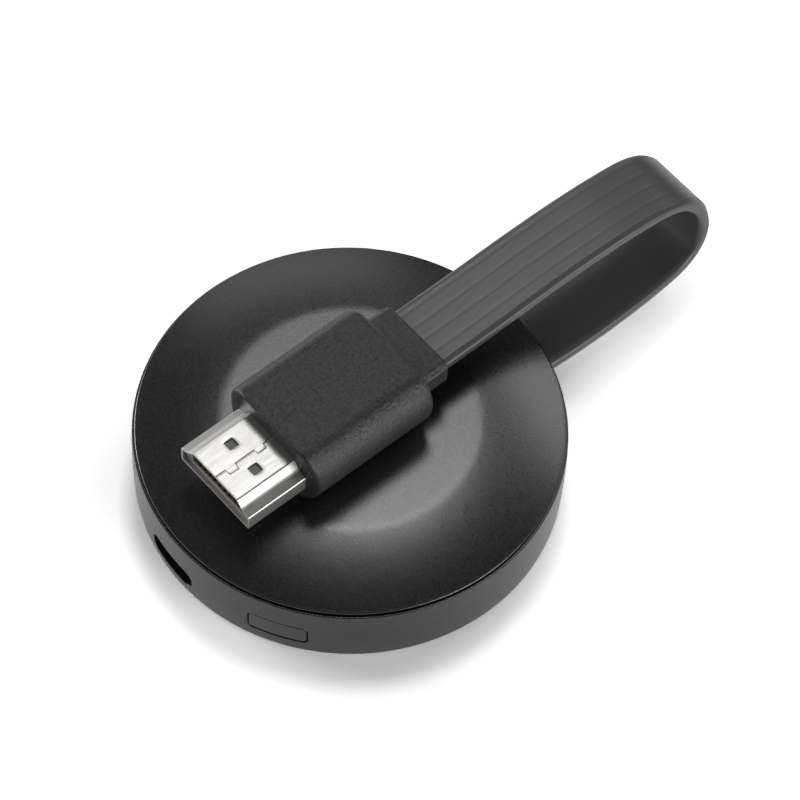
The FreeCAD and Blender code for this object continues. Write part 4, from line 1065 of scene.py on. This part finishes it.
def area_light(name, place, size, power):
    """A soft rectangular white lamp that faces the lamps' target."""
    lamp = bpy.data.lights.new(name, "AREA")
    lamp.shape = "RECTANGLE"
    lamp.size, lamp.size_y = size
    lamp.energy = power
    holder = bpy.data.objects.new(name, lamp)
    holder.location = place
    holder.rotation_euler = (Vector(LAMP_TARGET) - Vector(place)).to_track_quat("-Z", "Y").to_euler()
    bpy.context.scene.collection.objects.link(holder)


def build_stage():
    """The camera, the pale floor, the world and the lamps."""
    stage = bpy.context.scene.dongle_stage
    camera = bpy.data.cameras.new("camera")
    holder = bpy.data.objects.new("camera", camera)
    bpy.context.scene.collection.objects.link(holder)
    back = Vector(CAMERA_BACK).normalized()
    target = Vector(CAMERA_TARGET) * MM
    side = Vector(CAMERA_SIDE).normalized()
    up = back.cross(side)
    c, s = math.cos(stage.roll), math.sin(stage.roll)
    cam_x = side * c + up * s
    cam_y = up * c - side * s
    turn = Matrix((cam_x, cam_y, back)).transposed().to_4x4()
    holder.matrix_world = Matrix.Translation(target + back * stage.distance) @ turn
    camera.lens = stage.lens
    camera.sensor_width = 36
    camera.clip_start = 0.01
    camera.clip_end = 20
    bpy.context.scene.camera = holder

    extent = 2.5 / MM
    corners = np.array([(-1, -1), (1, -1), (1, 1), (-1, 1)]) * extent
    points = np.column_stack([corners, np.full(4, -0.02)])
    material, tree, output = empty_material("floor_paper")
    grain = add_node(tree, "ShaderNodeTexNoise", {"Scale": 900.0, "Detail": 2.0})
    path = add_node(tree, "ShaderNodeLightPath")
    colour = add_node(
        tree, "ShaderNodeMapRange", {"Value": grain.outputs["Fac"], "To Min": 0.985, "To Max": 1.0}
    )
    seen = path.outputs["Is Camera Ray"]
    lift = product_sum(tree, seen, stage.floor_lift, colour.outputs["Result"])
    paper = add_node(tree, "ShaderNodeBsdfDiffuse", {"Color": scaled(tree, stage.floor_colour, lift)})
    mirrored = product_sum(tree, path.outputs["Is Glossy Ray"], stage.floor_mirror)
    strength = product_sum(tree, seen, stage.floor_glow, mirrored)
    glow = add_node(tree, "ShaderNodeEmission", {"Color": (1, 1, 1, 1), "Strength": strength})
    both = add_node(tree, "ShaderNodeAddShader", {0: paper.outputs[0], 1: glow.outputs[0]})
    tree.links.new(both.outputs[0], output.inputs["Surface"])
    floor = new_piece("floor", (points, np.array([[0, 1, 2, 3]])), material, weld=False)

    world = bpy.data.worlds.new("studio")
    bpy.context.scene.world = world
    world.use_nodes = True
    tree = world.node_tree
    tree.nodes.clear()
    path = add_node(tree, "ShaderNodeLightPath")
    seen = add_node(
        tree,
        "ShaderNodeMapRange",
        {"Value": path.outputs["Is Camera Ray"], "To Min": stage.world_strength, "To Max": 1.0},
    )
    sky = add_node(tree, "ShaderNodeBackground", {"Color": (1, 1, 1, 1), "Strength": seen.outputs["Result"]})
    tree.links.new(sky.outputs[0], add_node(tree, "ShaderNodeOutputWorld").inputs["Surface"])

    for lamp in LAMPS:
        area_light(*lamp)
    bpy.context.scene.view_settings.view_transform = "Standard"


# Inside

INSIDE = {
    "main_board": "board",
    "board_screws": "screw_steel",
    "processor_chip": "chip_resin",
    "thermal_pad": "pad_silicone",
    "heat_spreader": "spreader_metal",
    "memory_chips": "chip_resin",
    "storage_chip": "chip_resin",
    "radio_shield": "tin_plate",
    "radio_chip": "chip_resin",
    "antenna": "small_part_body",
    "clock_crystal": "tin_plate",
    "power_coils": "coil_ferrite",
    "small_parts": "small_part_body",
    "switch_body": "tin_plate",
    "switch_plunger": "insulator",
    "inner_cable": "cable_jacket",
    "cable_header": "header_plastic",
    "cable_clamp": "header_plastic",
    "clamp_screws": "screw_steel",
    "cable_gland": "mould_rubber",
}
PORT = {"port_shell": "port_steel", "port_tongue": "insulator", "port_pins": "contact_metal"}
PLUG_INSIDE = {
    "plug_cable_end": "cable_jacket",
    "shield_can": "tin_plate",
    "plug_core": "core_grey",
    "plug_contacts": "contact_metal",
    "plug_wires": "wire_coating",
    "wire_filling": "hot_melt",
}


def dress_all(table):
    """Gives each node of a table its material."""
    for node, slot in table.items():
        dress(node, slot)


# Add-on


class DONGLE_OT_stage(bpy.types.Operator):
    """Makes the camera, the floor and the lights"""

    bl_idname = "dongle.stage"
    bl_label = "Stage"

    def execute(self, context):
        build_stage()
        return {"FINISHED"}


class DONGLE_OT_case(bpy.types.Operator):
    """Makes the case's wall and floor"""

    bl_idname = "dongle.case"
    bl_label = "Case"

    def execute(self, context):
        build_case()
        return {"FINISHED"}


class DONGLE_OT_cover(bpy.types.Operator):
    """Makes the crowned cover"""

    bl_idname = "dongle.cover"
    bl_label = "Cover"

    def execute(self, context):
        build_cover()
        return {"FINISHED"}


class DONGLE_OT_button(bpy.types.Operator):
    """Makes the reset button"""

    bl_idname = "dongle.button"
    bl_label = "Reset button"

    def execute(self, context):
        build_button()
        return {"FINISHED"}


class DONGLE_OT_port(bpy.types.Operator):
    """Finishes the power port"""

    bl_idname = "dongle.port"
    bl_label = "Power port"

    def execute(self, context):
        dress_all(PORT)
        return {"FINISHED"}


class DONGLE_OT_inside(bpy.types.Operator):
    """Finishes the board and what else is in the case"""

    bl_idname = "dongle.inside"
    bl_label = "Inside of the case"

    def execute(self, context):
        dress_all(INSIDE)
        return {"FINISHED"}


class DONGLE_OT_plug(bpy.types.Operator):
    """Makes the plug's moulding, strain relief and steel shell, and finishes its inner pieces"""

    bl_idname = "dongle.plug"
    bl_label = "Plug"

    def execute(self, context):
        build_moulding()
        build_relief()
        build_shell()
        dress_all(PLUG_INSIDE)
        return {"FINISHED"}


class DONGLE_OT_cable(bpy.types.Operator):
    """Makes the flat cable"""

    bl_idname = "dongle.cable"
    bl_label = "Flat cable"

    def execute(self, context):
        build_cable()
        return {"FINISHED"}


class DONGLE_PT_panel(bpy.types.Panel):
    """Lists the dongle's pieces and their settings"""

    bl_idname = "DONGLE_PT_panel"
    bl_label = "Display dongle"
    bl_space_type = "VIEW_3D"
    bl_region_type = "UI"
    bl_category = "Dongle"

    def draw(self, context):
        for operator in OPERATORS:
            self.layout.operator(operator.bl_idname)
        for name, group in SETTINGS.items():
            box = self.layout.box()
            box.label(text=group.__doc__)
            for prop in group.__annotations__:
                box.prop(getattr(context.scene, name), prop)


SETTINGS = {
    "dongle_case": DongleCaseSettings,
    "dongle_cable": DongleCableSettings,
    "dongle_plug": DonglePlugSettings,
    "dongle_stage": DongleStageSettings,
}
OPERATORS = (
    DONGLE_OT_stage,
    DONGLE_OT_case,
    DONGLE_OT_cover,
    DONGLE_OT_button,
    DONGLE_OT_port,
    DONGLE_OT_inside,
    DONGLE_OT_plug,
    DONGLE_OT_cable,
)


def register():
    """Registers the settings, the operators and the panel."""
    for group in (*SETTINGS.values(), *OPERATORS, DONGLE_PT_panel):
        bpy.utils.register_class(group)
    for name, group in SETTINGS.items():
        setattr(bpy.types.Scene, name, bpy.props.PointerProperty(type=group))


def unregister():
    """Takes back what register did."""
    for name in SETTINGS:
        delattr(bpy.types.Scene, name)
    for group in (DONGLE_PT_panel, *reversed(OPERATORS), *SETTINGS.values()):
        bpy.utils.unregister_class(group)


def main():
    """Builds the whole object."""
    register()
    for operator in OPERATORS:
        getattr(bpy.ops.dongle, operator.bl_idname.split(".")[1])()


if __name__ == "__main__":
    main()
